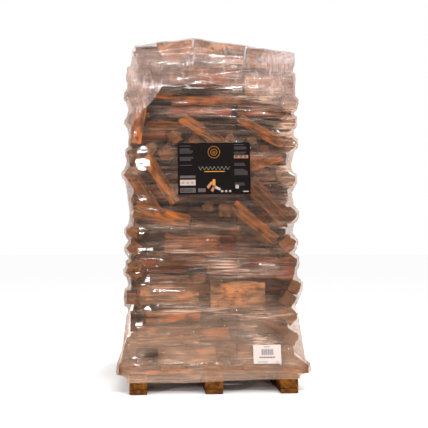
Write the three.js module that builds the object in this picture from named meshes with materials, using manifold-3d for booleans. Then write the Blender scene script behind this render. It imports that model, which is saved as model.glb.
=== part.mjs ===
// Firewood bundle: split logs stacked on an 800 x 1200 block pallet, with a film cover sheet over
// the top and stretch film wound round the load. Millimetres, +Z up, the front faces -Y, and the
// origin is on the ground under the middle of the pallet.
import * as THREE from "three";
import { mergeVertices } from "three/addons/utils/BufferGeometryUtils.js";
import Module from "manifold-3d";

const wasm = await Module();
wasm.setup();

// ---- driving dimensions ----
const GAP = 0.3; // clearance between pieces that touch

const PALLET = { width: 800, depth: 1200 };
const RUNNER = { width: 76, thick: 22, offset: 318 };
const BLOCK = { length: 145, height: 62 };
const CROSS_BOARD = { width: 145, thick: 18 };
const DECK_BOARD = { width: 100, thick: 18, count: 5 };
const CROSS_Z = RUNNER.thick + BLOCK.height;
const DECK_Z = CROSS_Z + CROSS_BOARD.thick;
const PALLET_TOP = DECK_Z + DECK_BOARD.thick;

// The load: its log tips reach halfX and halfY. Rows of logs lie round it, ROW.height apart.
const LOAD = { halfX: 362, halfY: 562, bottom: PALLET_TOP + 2 };
const ROW = { count: 13, height: 96, bay: 236, bays: 4, backBays: 3 };
const ROWS_TOP = LOAD.bottom + ROW.count * ROW.height;
const LOG_LENGTH = 245;
const ROW_DEPTH = 82; // how thick the ring of row logs is
const BACKING = 20; // thickness of the packed wood that the row logs lean on
const INSET = 26; // how far behind the tips a row log may lie

// The front: two layers of logs shown one by one, then the packed middle of the load.
const FRONT_Y = -LOAD.halfY;
const BACK_LAYER_Y = FRONT_Y + 48;
const CORE_FRONT_Y = FRONT_Y + 92;
const SIDE_FRONT_Y = CORE_FRONT_Y + 8;
const SIDE_BACK_Y = SIDE_FRONT_Y + ROW.bay * ROW.bays;

// Film: outer half sizes at each height, from the lower edge on the blocks to the upper edge.
const FILM_THICK = 1.6;
const WRAP_RINGS = [
  { z: 46, halfX: 362, halfY: 603.5, corner: 6 },
  { z: 82, halfX: 404, halfY: 603.5, corner: 6 },
  { z: 122, halfX: 404, halfY: 603.5, corner: 6 },
  { z: 215, halfX: 388, halfY: 575, corner: 38 },
  { z: 1330, halfX: 388, halfY: 575, corner: 38 },
  { z: 1440, halfX: 378, halfY: 570, corner: 38 },
];
const COVER_RINGS = [
  { z: 1310, halfX: 383, halfY: 571, corner: 36 },
  { z: 1440, halfX: 373, halfY: 566, corner: 36 },
  { z: 1489, halfX: 366, halfY: 565.5, corner: 36 },
  { z: 1500, halfX: 300, halfY: 480, corner: 60 },
];
const COVER_TOP = 1505;
const CORNER_STEPS = 4;

const POSTER = { width: 310, height: 219, thick: 1.2, x: 1, z: 951, tilt: 1 };
const TICKET = { width: 118, height: 80, thick: 0.8, x: 224, z: 165 };

// ---- materials ----
const material = (color, roughness, extra = {}) =>
  new THREE.MeshStandardMaterial({ color, roughness, metalness: 0, ...extra });
const PALLET_WOOD = material(0xa8682c, 0.8);
const SPLIT_WOOD = material(0xa0613a, 0.75);
const PACKED_WOOD = material(0x7a4a2e, 0.85);
const FILM = material(0xd9c9c2, 0.15, { transparent: true, opacity: 0.3 });
const POSTER_PRINT = material(0x121013, 0.35);
const TICKET_PAPER = material(0xe8dcda, 0.5);

// ---- helpers ----
const group = new THREE.Group();
const radians = THREE.MathUtils.degToRad;

function addMesh(name, geometry, surface) {
  const mesh = new THREE.Mesh(geometry, surface);
  mesh.name = name;
  group.add(mesh);
  return mesh;
}

// A repeatable number from 0 to 1 for each seed.
function chance(seed) {
  const wave = Math.sin(seed * 12.9898) * 43758.5453;
  return wave - Math.floor(wave);
}

function boxBetween(low, high) {
  const size = high.map((value, i) => value - low[i]);
  const middle = high.map((value, i) => (value + low[i]) / 2);
  return new THREE.BoxGeometry(...size).translate(...middle);
}

function toSolid(geometry) {
  const bare = geometry.index ? geometry.toNonIndexed() : geometry.clone();
  bare.deleteAttribute("normal");
  bare.deleteAttribute("uv");
  const merged = mergeVertices(bare, 1e-3);
  return new wasm.Manifold(
    new wasm.Mesh({
      numProp: 3,
      vertProperties: merged.attributes.position.array,
      triVerts: new Uint32Array(merged.index.array),
    }),
  );
}

function toGeometry(solid) {
  const mesh = solid.getMesh();
  const geometry = new THREE.BufferGeometry();
  geometry.setAttribute("position", new THREE.BufferAttribute(mesh.vertProperties, 3));
  geometry.setIndex(new THREE.BufferAttribute(mesh.triVerts, 1));
  geometry.computeVertexNormals();
  return geometry;
}

const join = (geometries) => geometries.map(toSolid).reduce((all, one) => all.add(one));

// ---- pallet ----
function addPallet() {
  const columns = [-RUNNER.offset, 0, RUNNER.offset];
  const rows = [-1, 0, 1].map((side) => (side * (PALLET.depth - BLOCK.length)) / 2);
  const side = ["left", "middle", "right"];
  const place = ["front", "middle", "back"];

  const piece = (name, size, x, y, bottom) => {
    const [width, depth, height] = size;
    const board = addMesh(name, new THREE.BoxGeometry(width, depth, height - GAP), PALLET_WOOD);
    board.position.set(x, y, bottom + (height - GAP) / 2);
  };

  columns.forEach((x, i) => {
    piece(`pallet_runner_${side[i]}`, [RUNNER.width, PALLET.depth, RUNNER.thick], x, 0, 0);
    rows.forEach((y, j) => {
      const size = [RUNNER.width, BLOCK.length, BLOCK.height];
      piece(`pallet_block_${side[i]}_${place[j]}`, size, x, y, RUNNER.thick);
    });
  });
  rows.forEach((y, j) => {
    const size = [PALLET.width, CROSS_BOARD.width, CROSS_BOARD.thick];
    piece(`pallet_cross_board_${place[j]}`, size, 0, y, CROSS_Z);
  });
  const step = (PALLET.width - DECK_BOARD.width) / (DECK_BOARD.count - 1);
  for (let i = 0; i < DECK_BOARD.count; i++) {
    const x = -(PALLET.width - DECK_BOARD.width) / 2 + i * step;
    piece(`pallet_deck_board_${i + 1}`, [DECK_BOARD.width, PALLET.depth, DECK_BOARD.thick], x, 0, DECK_Z);
  }
}

// ---- split logs ----
// Log sections as shares of the log's depth (first, -0.5 at the front) and height (second).
const SECTIONS = {
  plank: [[-0.5, -0.5], [0.5, -0.46], [0.47, 0.5], [-0.48, 0.46]],
  split: [[-0.42, -0.5], [0.5, -0.44], [0.46, 0.5], [-0.34, 0.47], [-0.5, 0.06]],
  wedge: [[-0.5, -0.42], [-0.1, -0.5], [0.4, -0.3], [0.5, 0.12], [0.1, 0.44], [-0.36, 0.5]],
  billet: [[-0.5, -0.2], [-0.16, -0.5], [0.42, -0.42], [0.5, 0.26], [0.05, 0.5], [-0.4, 0.38]],
};

// A log along X, centred on the origin, a little thinner at its far end.
function logGeometry(section, length, depth, height, taper = 0.93) {
  const outline = SECTIONS[section].map(([u, v]) => new THREE.Vector2(u * depth, v * height));
  const geometry = new THREE.ExtrudeGeometry(new THREE.Shape(outline), {
    depth: length,
    bevelEnabled: false,
  });
  geometry.translate(0, 0, -length / 2);
  const points = geometry.attributes.position;
  for (let i = 0; i < points.count; i++) {
    if (points.getZ(i) > 0) points.setXYZ(i, points.getX(i) * taper, points.getY(i) * taper, length / 2);
  }
  const alongX = new THREE.Matrix4().makeBasis(
    new THREE.Vector3(0, 1, 0),
    new THREE.Vector3(0, 0, 1),
    new THREE.Vector3(1, 0, 0),
  );
  return geometry.applyMatrix4(alongX);
}

// The turn of a log: tilt lifts its right end as seen from the front, yaw turns it towards +Y.
function logTurn({ tilt = 0, yaw = 0, roll = 0 }) {
  return new THREE.Euler(radians(roll), -radians(tilt), radians(yaw), "ZYX");
}

function placedLog(log) {
  const geometry = logGeometry(log.section, log.length, log.depth, log.height, log.taper);
  const turn = new THREE.Matrix4().makeRotationFromEuler(logTurn(log));
  return geometry.applyMatrix4(turn).translate(log.x, log.y, log.z);
}

const inFront = { layerY: FRONT_Y };
const inBack = { layerY: BACK_LAYER_Y };

// Logs that the front shows one by one, from the deck up. x and z are each log's middle.
const FRONT_LOGS = [
  { x: -112, z: 155, length: 245, height: 62, depth: 64, section: "split", ...inFront },
  { x: -190, z: 241, length: 258, height: 82, depth: 86, section: "wedge", ...inFront },
  { x: -173, z: 325, length: 230, height: 54, depth: 60, section: "plank", tilt: 3, ...inFront },
  { x: -190, z: 401, length: 252, height: 60, depth: 50, section: "split", tilt: -3, yaw: 8, ...inFront },
  { x: 104, z: 410, length: 233, height: 122, depth: 88, section: "plank", ...inFront },
  { x: -137, z: 567, length: 216, height: 62, depth: 40, section: "split", tilt: -3, ...inBack },
  { x: 98, z: 541, length: 240, height: 84, depth: 40, section: "split", tilt: -2, ...inBack },
  { x: 226, z: 529, length: 236, height: 86, depth: 44, section: "wedge", tilt: -4, ...inFront },
  { x: -91, z: 630, length: 233, height: 86, depth: 44, section: "plank", tilt: -3, ...inFront },
  { x: -220, z: 750, length: 240, height: 72, depth: 44, section: "split", tilt: -16, ...inFront },
  { x: 178, z: 721, length: 238, height: 48, depth: 50, section: "split", tilt: -38, ...inFront },
  { x: 240, z: 812, length: 240, height: 76, depth: 60, section: "plank", tilt: -45, ...inFront },
  { x: -292, z: 838, length: 236, height: 56, depth: 40, section: "split", tilt: -57, ...inBack },
  { x: -225, z: 906, length: 236, height: 48, depth: 44, section: "plank", tilt: -58, ...inFront },
  { x: 187, z: 983, length: 236, height: 62, depth: 40, section: "split", tilt: 17, ...inBack },
  { x: -178, z: 1141, length: 200, height: 40, depth: 40, section: "plank", ...inBack },
  { x: -38, z: 1108, length: 240, height: 44, depth: 42, section: "plank", tilt: -33, ...inFront },
  { x: 207, z: 1118, length: 222, height: 42, depth: 44, section: "split", tilt: -30, ...inFront },
  { x: -316, z: 1174, length: 234, height: 44, depth: 44, section: "plank", tilt: 82, ...inFront },
  { x: 226, z: 1224, length: 236, height: 88, depth: 40, section: "wedge", tilt: -2, ...inBack },
  { x: -24, z: 1358, length: 250, height: 92, depth: 40, section: "split", ...inBack },
  { x: 240, z: 1318, length: 210, height: 88, depth: 60, section: "plank", tilt: 1, ...inFront },
];

// Logs that lie across the front, so that a cut end faces out.
const FRONT_END_LOGS = [
  { x: -168, z: 1086, width: 58, height: 52, section: "billet" },
  { x: -284, z: 1424, width: 118, height: 92, section: "billet" },
];

// Logs of the packed wood that also reach the front, each joined to what is behind it.
const JOINED_ENDS = {
  logs_left_lower: [{ x: -348, z: 398, width: 46, height: 50 }],
  logs_left_middle: [
    { x: -333, z: 533, width: 66, height: 46 },
    { x: -345, z: 679, width: 48, height: 54 },
  ],
  logs_left_upper: [{ x: -338, z: 1006, width: 62, height: 78, layerY: BACK_LAYER_Y }],
  logs_right_lower: [{ x: 318, z: 167, width: 56, height: 52 }],
  logs_core_lower: [{ x: 128, z: 154, width: 222, height: 58 }],
  logs_core_upper: [
    { x: -200, z: 1019, width: 78, height: 72, layerY: BACK_LAYER_Y },
    { x: -80, z: 1080, width: 60, height: 44, layerY: BACK_LAYER_Y },
  ],
  logs_top: [
    { x: -112, z: 1450, width: 232, height: 70 },
    { x: 72, z: 1447, width: 118, height: 66 },
    { x: 236, z: 1420, width: 190, height: 92 },
  ],
};

function addFrontLogs() {
  let number = 0;
  const nextName = () => `front_log_${String(++number).padStart(2, "0")}`;
  FRONT_LOGS.forEach((log) => {
    const reach = (log.length / 2) * Math.sin(radians(log.yaw ?? 0));
    const mesh = addMesh(
      nextName(),
      logGeometry(log.section, log.length, log.depth, log.height),
      SPLIT_WOOD,
    );
    mesh.position.set(log.x, log.layerY + log.depth / 2 + reach, log.z);
    mesh.rotation.copy(logTurn(log));
  });
  FRONT_END_LOGS.forEach((log) => {
    const geometry = logGeometry(log.section, LOG_LENGTH, log.width, log.height, 1);
    const mesh = addMesh(nextName(), geometry, SPLIT_WOOD);
    mesh.position.set(log.x, FRONT_Y + LOG_LENGTH / 2, log.z);
    mesh.rotation.copy(logTurn({ yaw: 90 }));
  });
}

// ---- the rest of the stack ----
// One row log against a side: where it lies along the side and how it is cut.
function rowLog(side, row, bay, bayLength) {
  const seed = 1 + side * 400 + row * 20 + bay;
  const tilt = (chance(seed) - 0.5) * 8;
  const length = bayLength - 6 - 14 * chance(seed + 0.3);
  const room = ROW.height * (0.86 + 0.11 * chance(seed + 0.5));
  return {
    along: (bay + 0.5) * bayLength,
    z: LOAD.bottom + (row + 0.5) * ROW.height,
    length,
    height: room - length * Math.abs(Math.sin(radians(tilt))),
    inset: INSET * chance(seed + 0.7) ** 2,
    section: chance(seed + 0.9) < 0.5 ? "split" : "plank",
    tilt,
  };
}

// Row logs of one tier on the left (-1) or right (1), on the packed wood behind them.
function sideTier(direction, firstRow, endRow) {
  const low = LOAD.bottom + firstRow * ROW.height;
  const high = LOAD.bottom + endRow * ROW.height - GAP;
  const wall = [LOAD.halfX - ROW_DEPTH - BACKING, LOAD.halfX - ROW_DEPTH].map((x) => x * direction);
  const pieces = [
    boxBetween(
      [Math.min(...wall), SIDE_FRONT_Y, low],
      [Math.max(...wall), SIDE_BACK_Y - GAP, high],
    ),
  ];
  for (let row = firstRow; row < endRow; row++) {
    for (let bay = 0; bay < ROW.bays; bay++) {
      const log = rowLog(direction > 0 ? 1 : 0, row, bay, ROW.bay);
      const depth = ROW_DEPTH - log.inset + BACKING / 2;
      const x = direction * (LOAD.halfX - log.inset - depth / 2);
      const y = SIDE_FRONT_Y + log.along;
      pieces.push(placedLog({ ...log, depth, x, y, yaw: direction * 90, taper: 1 }));
    }
  }
  return pieces;
}

// Row logs of one tier across the back, on the packed wood behind them.
function backTier(firstRow, endRow) {
  const low = LOAD.bottom + firstRow * ROW.height;
  const high = LOAD.bottom + endRow * ROW.height - GAP;
  const wallY = SIDE_BACK_Y;
  const halfWidth = (ROW.backBays * ROW.bay) / 2;
  const pieces = [boxBetween([-halfWidth, wallY, low], [halfWidth, wallY + BACKING, high])];
  for (let row = firstRow; row < endRow; row++) {
    for (let bay = 0; bay < ROW.backBays; bay++) {
      const log = rowLog(2, row, bay, ROW.bay);
      const outer = LOAD.halfY - log.inset;
      const depth = outer - wallY - BACKING / 2;
      const x = log.along - halfWidth;
      pieces.push(placedLog({ ...log, depth, x, y: outer - depth / 2, yaw: 180, taper: 1 }));
    }
  }
  return pieces;
}

// Log ends at the front that belong to the wood behind them.
function joinedEnds(name) {
  const reachY = name.includes("core") ? CORE_FRONT_Y + 5 : SIDE_FRONT_Y + 12;
  return (JOINED_ENDS[name] ?? []).map((log) => {
    const length = reachY - (log.layerY ?? FRONT_Y);
    return placedLog({
      section: "billet",
      length,
      depth: log.width,
      height: log.height,
      taper: 1,
      x: log.x,
      y: reachY - length / 2,
      z: log.z,
      yaw: 90,
    });
  });
}

function coreTier(firstRow, endRow) {
  const halfX = LOAD.halfX - ROW_DEPTH - BACKING - 1;
  const low = LOAD.bottom + firstRow * ROW.height;
  const high = LOAD.bottom + endRow * ROW.height - GAP;
  return [boxBetween([-halfX, CORE_FRONT_Y, low], [halfX, SIDE_BACK_Y - 1, high])];
}

// The uneven top: packed wood with one more layer of logs lying on it.
function topLayer() {
  const low = ROWS_TOP + GAP;
  const pieces = [
    boxBetween([-LOAD.halfX + 30, CORE_FRONT_Y, low], [LOAD.halfX - 30, LOAD.halfY - 30, low + 56]),
  ];
  const rows = 4;
  const pitch = (LOAD.halfY - 30 - CORE_FRONT_Y - 10) / rows;
  for (let row = 0; row < rows; row++) {
    for (let bay = 0; bay < 3; bay++) {
      const seed = 901 + row * 10 + bay;
      pieces.push(
        placedLog({
          section: chance(seed) < 0.5 ? "split" : "wedge",
          length: 188 + 22 * chance(seed + 0.2),
          depth: 120 + 60 * chance(seed + 0.4),
          height: 70,
          x: (bay - 1) * 220,
          y: CORE_FRONT_Y + 20 + (row + 0.5) * pitch,
          z: low + 68 + 12 * chance(seed + 0.6) - 14 * Math.abs(bay - 1),
          yaw: 20 * (chance(seed + 0.8) - 0.5),
        }),
      );
    }
  }
  return pieces;
}

// Room for the logs that lie across the front and reach into the packed wood.
function endLogPockets() {
  const room = 2;
  return FRONT_END_LOGS.map(({ x, z, width, height }) =>
    toSolid(
      boxBetween(
        [x - width / 2 - room, FRONT_Y - room, z - height / 2 - room],
        [x + width / 2 + room, FRONT_Y + LOG_LENGTH + room, z + height / 2 + room],
      ),
    ),
  );
}

function addStack() {
  const tiers = { lower: [0, 4], middle: [4, 8], upper: [8, ROW.count] };
  const stack = {};
  for (const [tier, rows] of Object.entries(tiers)) {
    stack[`logs_left_${tier}`] = sideTier(-1, ...rows);
    stack[`logs_right_${tier}`] = sideTier(1, ...rows);
    stack[`logs_back_${tier}`] = backTier(...rows);
  }
  const coreSplit = 6;
  stack.logs_core_lower = coreTier(0, coreSplit);
  stack.logs_core_upper = coreTier(coreSplit, ROW.count);
  stack.logs_top = topLayer();
  const pockets = endLogPockets();
  for (const [name, pieces] of Object.entries(stack)) {
    const whole = join([...pieces, ...joinedEnds(name)]);
    const cut = pockets.reduce((solid, pocket) => solid.subtract(pocket), whole);
    addMesh(name, toGeometry(cut), PACKED_WOOD);
  }
}

// ---- film ----
// Points of a rectangle with rounded corners, counter-clockwise from above.
function ringPoints({ z, halfX, halfY, corner }) {
  const points = [];
  for (let quarter = 0; quarter < 4; quarter++) {
    const signX = quarter === 0 || quarter === 3 ? 1 : -1;
    const signY = quarter < 2 ? 1 : -1;
    for (let step = 0; step <= CORNER_STEPS; step++) {
      const angle = (Math.PI / 2) * (quarter + step / CORNER_STEPS);
      const x = signX * (halfX - corner) + corner * Math.cos(angle);
      const y = signY * (halfY - corner) + corner * Math.sin(angle);
      points.push([x, y, z]);
    }
  }
  return points;
}

const thinner = (ring) => ({
  ...ring,
  halfX: ring.halfX - FILM_THICK,
  halfY: ring.halfY - FILM_THICK,
  corner: ring.corner - FILM_THICK,
});

// A closed surface through rings of points, each ring joined to the next and the last to the
// first where `closed` is true, or else each end filled with a fan.
function skin(rings, closed) {
  const count = rings[0].length;
  const positions = rings.flat(2);
  const faces = [];
  const last = closed ? rings.length : rings.length - 1;
  for (let level = 0; level < last; level++) {
    const here = level * count;
    const next = ((level + 1) % rings.length) * count;
    for (let i = 0; i < count; i++) {
      const j = (i + 1) % count;
      faces.push(here + i, here + j, next + j, here + i, next + j, next + i);
    }
  }
  if (!closed) {
    const fan = (first, flip) => {
      for (let i = 1; i < count - 1; i++) {
        faces.push(first, first + (flip ? i + 1 : i), first + (flip ? i : i + 1));
      }
    };
    fan(0, true);
    fan((rings.length - 1) * count, false);
  }
  const geometry = new THREE.BufferGeometry();
  geometry.setAttribute("position", new THREE.Float32BufferAttribute(positions, 3));
  geometry.setIndex(faces);
  geometry.computeVertexNormals();
  return geometry;
}

// Wound film: up the outside, over the upper edge and down the inside.
function addWrap() {
  const outside = WRAP_RINGS.map(ringPoints);
  const inside = WRAP_RINGS.map(thinner).map(ringPoints).reverse();
  addMesh("film_wrap", skin([...outside, ...inside], true), FILM);
}

// Cover sheet: up the outside to the crown, and back down inside it.
function addCoverSheet() {
  const crown = { z: COVER_TOP, halfX: 120, halfY: 240, corner: 60 };
  const outside = [...COVER_RINGS, crown].map(ringPoints);
  const inner = [...COVER_RINGS, crown].map(thinner);
  const inside = inner.map((ring, i) => ringPoints(i ? { ...ring, z: ring.z - FILM_THICK } : ring));
  addMesh("film_cover_sheet", skin([...inside.reverse(), ...outside], false), FILM);
}

// ---- labels ----
function addLabels() {
  const wallY = WRAP_RINGS[3].halfY;
  const poster = addMesh(
    "poster_label",
    new THREE.BoxGeometry(POSTER.width, POSTER.thick, POSTER.height),
    POSTER_PRINT,
  );
  poster.position.set(POSTER.x, -wallY - GAP - POSTER.thick / 2, POSTER.z);
  poster.rotation.y = -radians(POSTER.tilt);

  const [deckRing, loadRing] = [WRAP_RINGS[2], WRAP_RINGS[3]];
  const lean = Math.atan2(deckRing.halfY - loadRing.halfY, loadRing.z - deckRing.z);
  const share = (TICKET.z - deckRing.z) / (loadRing.z - deckRing.z);
  const filmY = THREE.MathUtils.lerp(deckRing.halfY, loadRing.halfY, share);
  const off = GAP + TICKET.thick / 2;
  const ticket = addMesh(
    "barcode_label",
    new THREE.BoxGeometry(TICKET.width, TICKET.thick, TICKET.height),
    TICKET_PAPER,
  );
  ticket.position.set(TICKET.x, -filmY - off * Math.cos(lean), TICKET.z + off * Math.sin(lean));
  ticket.rotation.x = -lean;
}

addPallet();
addFrontLogs();
addStack();
addWrap();
addCoverSheet();
addLabels();

export default group;
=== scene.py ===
"""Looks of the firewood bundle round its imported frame: split logs, pallet, stretch film and labels.

Metres, +Z up, and the front faces -Y, as in the frame. "Outline" is a ring of points round a piece
of wood, and every piece of wood is skinned between a start outline and an end outline.
"""

import math

import bpy
import numpy as np
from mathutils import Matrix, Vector


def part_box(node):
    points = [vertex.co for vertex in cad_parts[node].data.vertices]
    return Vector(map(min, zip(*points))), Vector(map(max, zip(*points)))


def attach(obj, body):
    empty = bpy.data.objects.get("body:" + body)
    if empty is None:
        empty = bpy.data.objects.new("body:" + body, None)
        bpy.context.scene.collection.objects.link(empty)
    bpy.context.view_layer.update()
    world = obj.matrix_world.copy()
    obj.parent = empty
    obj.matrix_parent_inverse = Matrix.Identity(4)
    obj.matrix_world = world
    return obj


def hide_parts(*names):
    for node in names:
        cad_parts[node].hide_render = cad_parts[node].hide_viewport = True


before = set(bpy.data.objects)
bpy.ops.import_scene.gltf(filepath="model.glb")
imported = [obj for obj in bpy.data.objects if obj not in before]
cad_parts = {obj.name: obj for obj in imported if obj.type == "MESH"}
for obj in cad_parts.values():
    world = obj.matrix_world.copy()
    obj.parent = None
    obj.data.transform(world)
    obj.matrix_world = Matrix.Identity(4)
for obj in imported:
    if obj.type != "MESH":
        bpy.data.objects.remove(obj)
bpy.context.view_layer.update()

TAU = 2 * math.pi
X_AXIS, Y_AXIS, Z_AXIS = np.eye(3)

# ---- the stack's layout, as the frame has it ----
FRONT_LOG_COUNT = 24
HALF_X, HALF_Y = 0.362, 0.562
STACK_BOTTOM = 0.122
ROWS, ROW_HEIGHT, BAY, SIDE_BAYS, BACK_BAYS = 13, 0.096, 0.236, 4, 3
ROW_DEPTH, BACKING, INSET = 0.082, 0.020, 0.026
FRONT_Y = -HALF_Y
BACK_LAYER_Y = FRONT_Y + 0.048
CORE_FRONT_Y = FRONT_Y + 0.092
SIDE_FRONT_Y = CORE_FRONT_Y + 0.008
SIDE_BACK_Y = SIDE_FRONT_Y + BAY * SIDE_BAYS
STACK_TOP = STACK_BOTTOM + ROWS * ROW_HEIGHT
DECK_BOTTOM = 0.084
LOG_LENGTH = 0.245


# ---- camera ----
def make_camera():
    azimuth = math.radians(-3.5)
    reach, eye_height = 4.3, 0.62
    aim = Vector((0.0, -0.58, 0.757))
    data = bpy.data.cameras.new("camera")
    data.lens = 73.8
    data.sensor_width = 36.0
    camera = bpy.data.objects.new("camera", data)
    camera.location = (math.sin(azimuth) * reach, -math.cos(azimuth) * reach, eye_height)
    camera.rotation_euler = (aim - camera.location).to_track_quat("-Z", "Y").to_euler()
    bpy.context.scene.collection.objects.link(camera)
    bpy.context.scene.camera = camera


# ---- repeatable chance ----
def chance(seed):
    """A repeatable number from 0 to 1 for each seed, the same as the frame's layout uses."""
    wave = math.sin(seed * 12.9898) * 43758.5453
    return wave - math.floor(wave)


def ripple(rng, across, along, pitch, stretch, height, count=6):
    """Smooth relief: ridges about pitch apart across the grain, and stretch times longer along it."""
    total = np.zeros(np.broadcast(across, along).shape)
    for _ in range(count):
        crosswise = TAU / (pitch * rng.uniform(0.6, 1.8))
        lengthwise = crosswise / stretch * rng.uniform(-1, 1)
        sway = rng.uniform(0, 0.9) * np.sin(along * lengthwise * 2.3 + rng.uniform(0, TAU))
        total += np.sin(across * crosswise + along * lengthwise + sway + rng.uniform(0, TAU))
    return total * height / math.sqrt(count)


# ---- node trees ----
class Shader:
    """Short calls for building one material's node tree."""

    def __init__(self, name):
        self.material = bpy.data.materials.new(name)
        self.material.use_nodes = True
        self.tree = self.material.node_tree
        self.tree.nodes.clear()

    def node(self, kind, inputs=None, **settings):
        node = self.tree.nodes.new("ShaderNode" + kind)
        for key, value in settings.items():
            setattr(node, key, value)
        for key, value in (inputs or {}).items():
            self.feed(node.inputs[key], value)
        return node

    def feed(self, socket, value):
        if isinstance(value, bpy.types.NodeSocket):
            self.tree.links.new(value, socket)
        else:
            socket.default_value = value

    def math(self, operation, first, second=0.0, clamp=False):
        node = self.node("Math", {0: first, 1: second}, operation=operation, use_clamp=clamp)
        return node.outputs[0]

    def times(self, first, second):
        return self.math("MULTIPLY", first, second)

    def plus(self, first, second):
        return self.math("ADD", first, second)

    def remap(self, value, low, high, to_low=0.0, to_high=1.0):
        names = ("Value", "From Min", "From Max", "To Min", "To Max")
        node = self.node("MapRange", dict(zip(names, (value, low, high, to_low, to_high))))
        return node.outputs["Result"]

    def mix(self, factor, first, second, blend="MIX"):
        node = self.node("Mix", data_type="RGBA", blend_type=blend)
        self.feed(node.inputs["Factor"], factor)
        self.feed(node.inputs["A"], first)
        self.feed(node.inputs["B"], second)
        return node.outputs["Result"]

    def attribute(self, name, output):
        return self.node("Attribute", attribute_name=name).outputs[output]

    def stretched(self, vector, scale):
        return self.node("VectorMath", {0: vector, 1: scale}, operation="MULTIPLY").outputs[0]

    def noise(self, vector, detail=4.0, roughness=0.6, distortion=0.0):
        inputs = {
            "Vector": vector,
            "Scale": 1.0,
            "Detail": detail,
            "Roughness": roughness,
            "Distortion": distortion,
        }
        return self.node("TexNoise", inputs).outputs["Fac"]

    def bump(self, height, distance, strength=1.0):
        inputs = {"Height": height, "Distance": distance, "Strength": strength}
        return self.node("Bump", inputs).outputs["Normal"]

    def finish(self, shader):
        output = self.node("OutputMaterial")
        self.tree.links.new(shader, output.inputs["Surface"])
        return self.material


RING_PITCH = 0.0046  # between the growth rings of the wood


def rgba(color):
    return (*color, 1.0)


def growth_rings(s, grain):
    """Rings round the pith, a few millimetres apart and gently bent."""
    warp = s.noise(s.stretched(grain, (5.0, 22.0, 22.0)), 2.0)
    across = s.stretched(grain, (0.0, 1.0, 1.0))
    from_pith = s.node("VectorMath", {0: across}, operation="LENGTH").outputs["Value"]
    wavy = s.plus(from_pith, s.times(warp, 0.012))
    return s.remap(s.math("SINE", s.times(wavy, TAU / RING_PITCH)), -1.0, 1.0)


def sawn_color(s, grain, tone, rings, tint, share):
    """A sawn end: its rings and the marks of the saw, in the tone mixed with a tint."""
    saw = s.noise(s.stretched(grain, (600.0, 90.0, 90.0)), 3.0)
    light_side = s.mix(share, tone, rgba(tint))
    dark_side = s.mix(1.0, light_side, rgba((0.42, 0.36, 0.3)), "MULTIPLY")
    return s.mix(s.plus(s.times(rings, 0.5), s.times(saw, 0.6)), dark_side, light_side)


def wood_material(name, end_tint, end_share, roughness, soiled=(0.36, 0.50)):
    """Wood whose growth rings, fibres, cut ends and bark follow each piece's own attributes."""
    s = Shader(name)
    grain = s.attribute("grain", "Vector")
    tone = s.attribute("tone", "Color")
    end = s.attribute("end", "Fac")
    bark = s.attribute("bark", "Fac")
    rings = growth_rings(s, grain)
    streaks = s.noise(s.stretched(grain, (5.0, 84.0, 84.0)), 3.0, 0.55)
    fibres = s.noise(s.stretched(grain, (22.0, 620.0, 620.0)), 4.0, 0.7)
    patches = s.noise(s.stretched(grain, (7.0, 16.0, 16.0)), 2.0)

    light = s.times(s.remap(streaks, 0.42, 0.60), 0.66)
    light = s.plus(light, s.times(s.remap(fibres, 0.32, 0.68), 0.26))
    light = s.plus(light, s.times(rings, 0.14))
    dark_side = s.mix(1.0, tone, rgba((0.20, 0.15, 0.11)), "MULTIPLY")
    split = s.mix(light, dark_side, tone)
    warm_side = s.mix(1.0, tone, rgba((2.4, 1.95, 1.4)), "MULTIPLY")
    split = s.mix(s.remap(patches, 0.48, 0.66, 0.0, 0.65), split, warm_side)

    crust = s.noise(s.stretched(grain, (45.0, 120.0, 120.0)), 5.0, 0.65)
    bark_color = s.mix(s.remap(crust, 0.35, 0.68), rgba((0.022, 0.011, 0.006)), rgba((0.10, 0.055, 0.030)))

    color = s.mix(bark, split, bark_color)
    color = s.mix(end, color, sawn_color(s, grain, tone, rings, end_tint, end_share))
    soil = s.noise(s.stretched(grain, (24.0, 44.0, 44.0)), 4.0, 0.7)
    color = s.mix(s.remap(soil, *soiled, 0.78, 0.0), color, rgba((0.020, 0.007, 0.003)))
    relief = s.plus(s.times(fibres, 0.5), s.times(streaks, 1.2))
    relief = s.plus(relief, s.times(s.times(crust, bark), 2.5))
    inputs = {
        "Base Color": color,
        "Roughness": s.remap(fibres, 0.2, 0.8, roughness - 0.12, roughness + 0.12),
        "Specular IOR Level": 0.08,
        "Normal": s.bump(relief, 0.0016, 0.9),
    }
    return s.finish(s.node("BsdfPrincipled", inputs).outputs[0])


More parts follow.
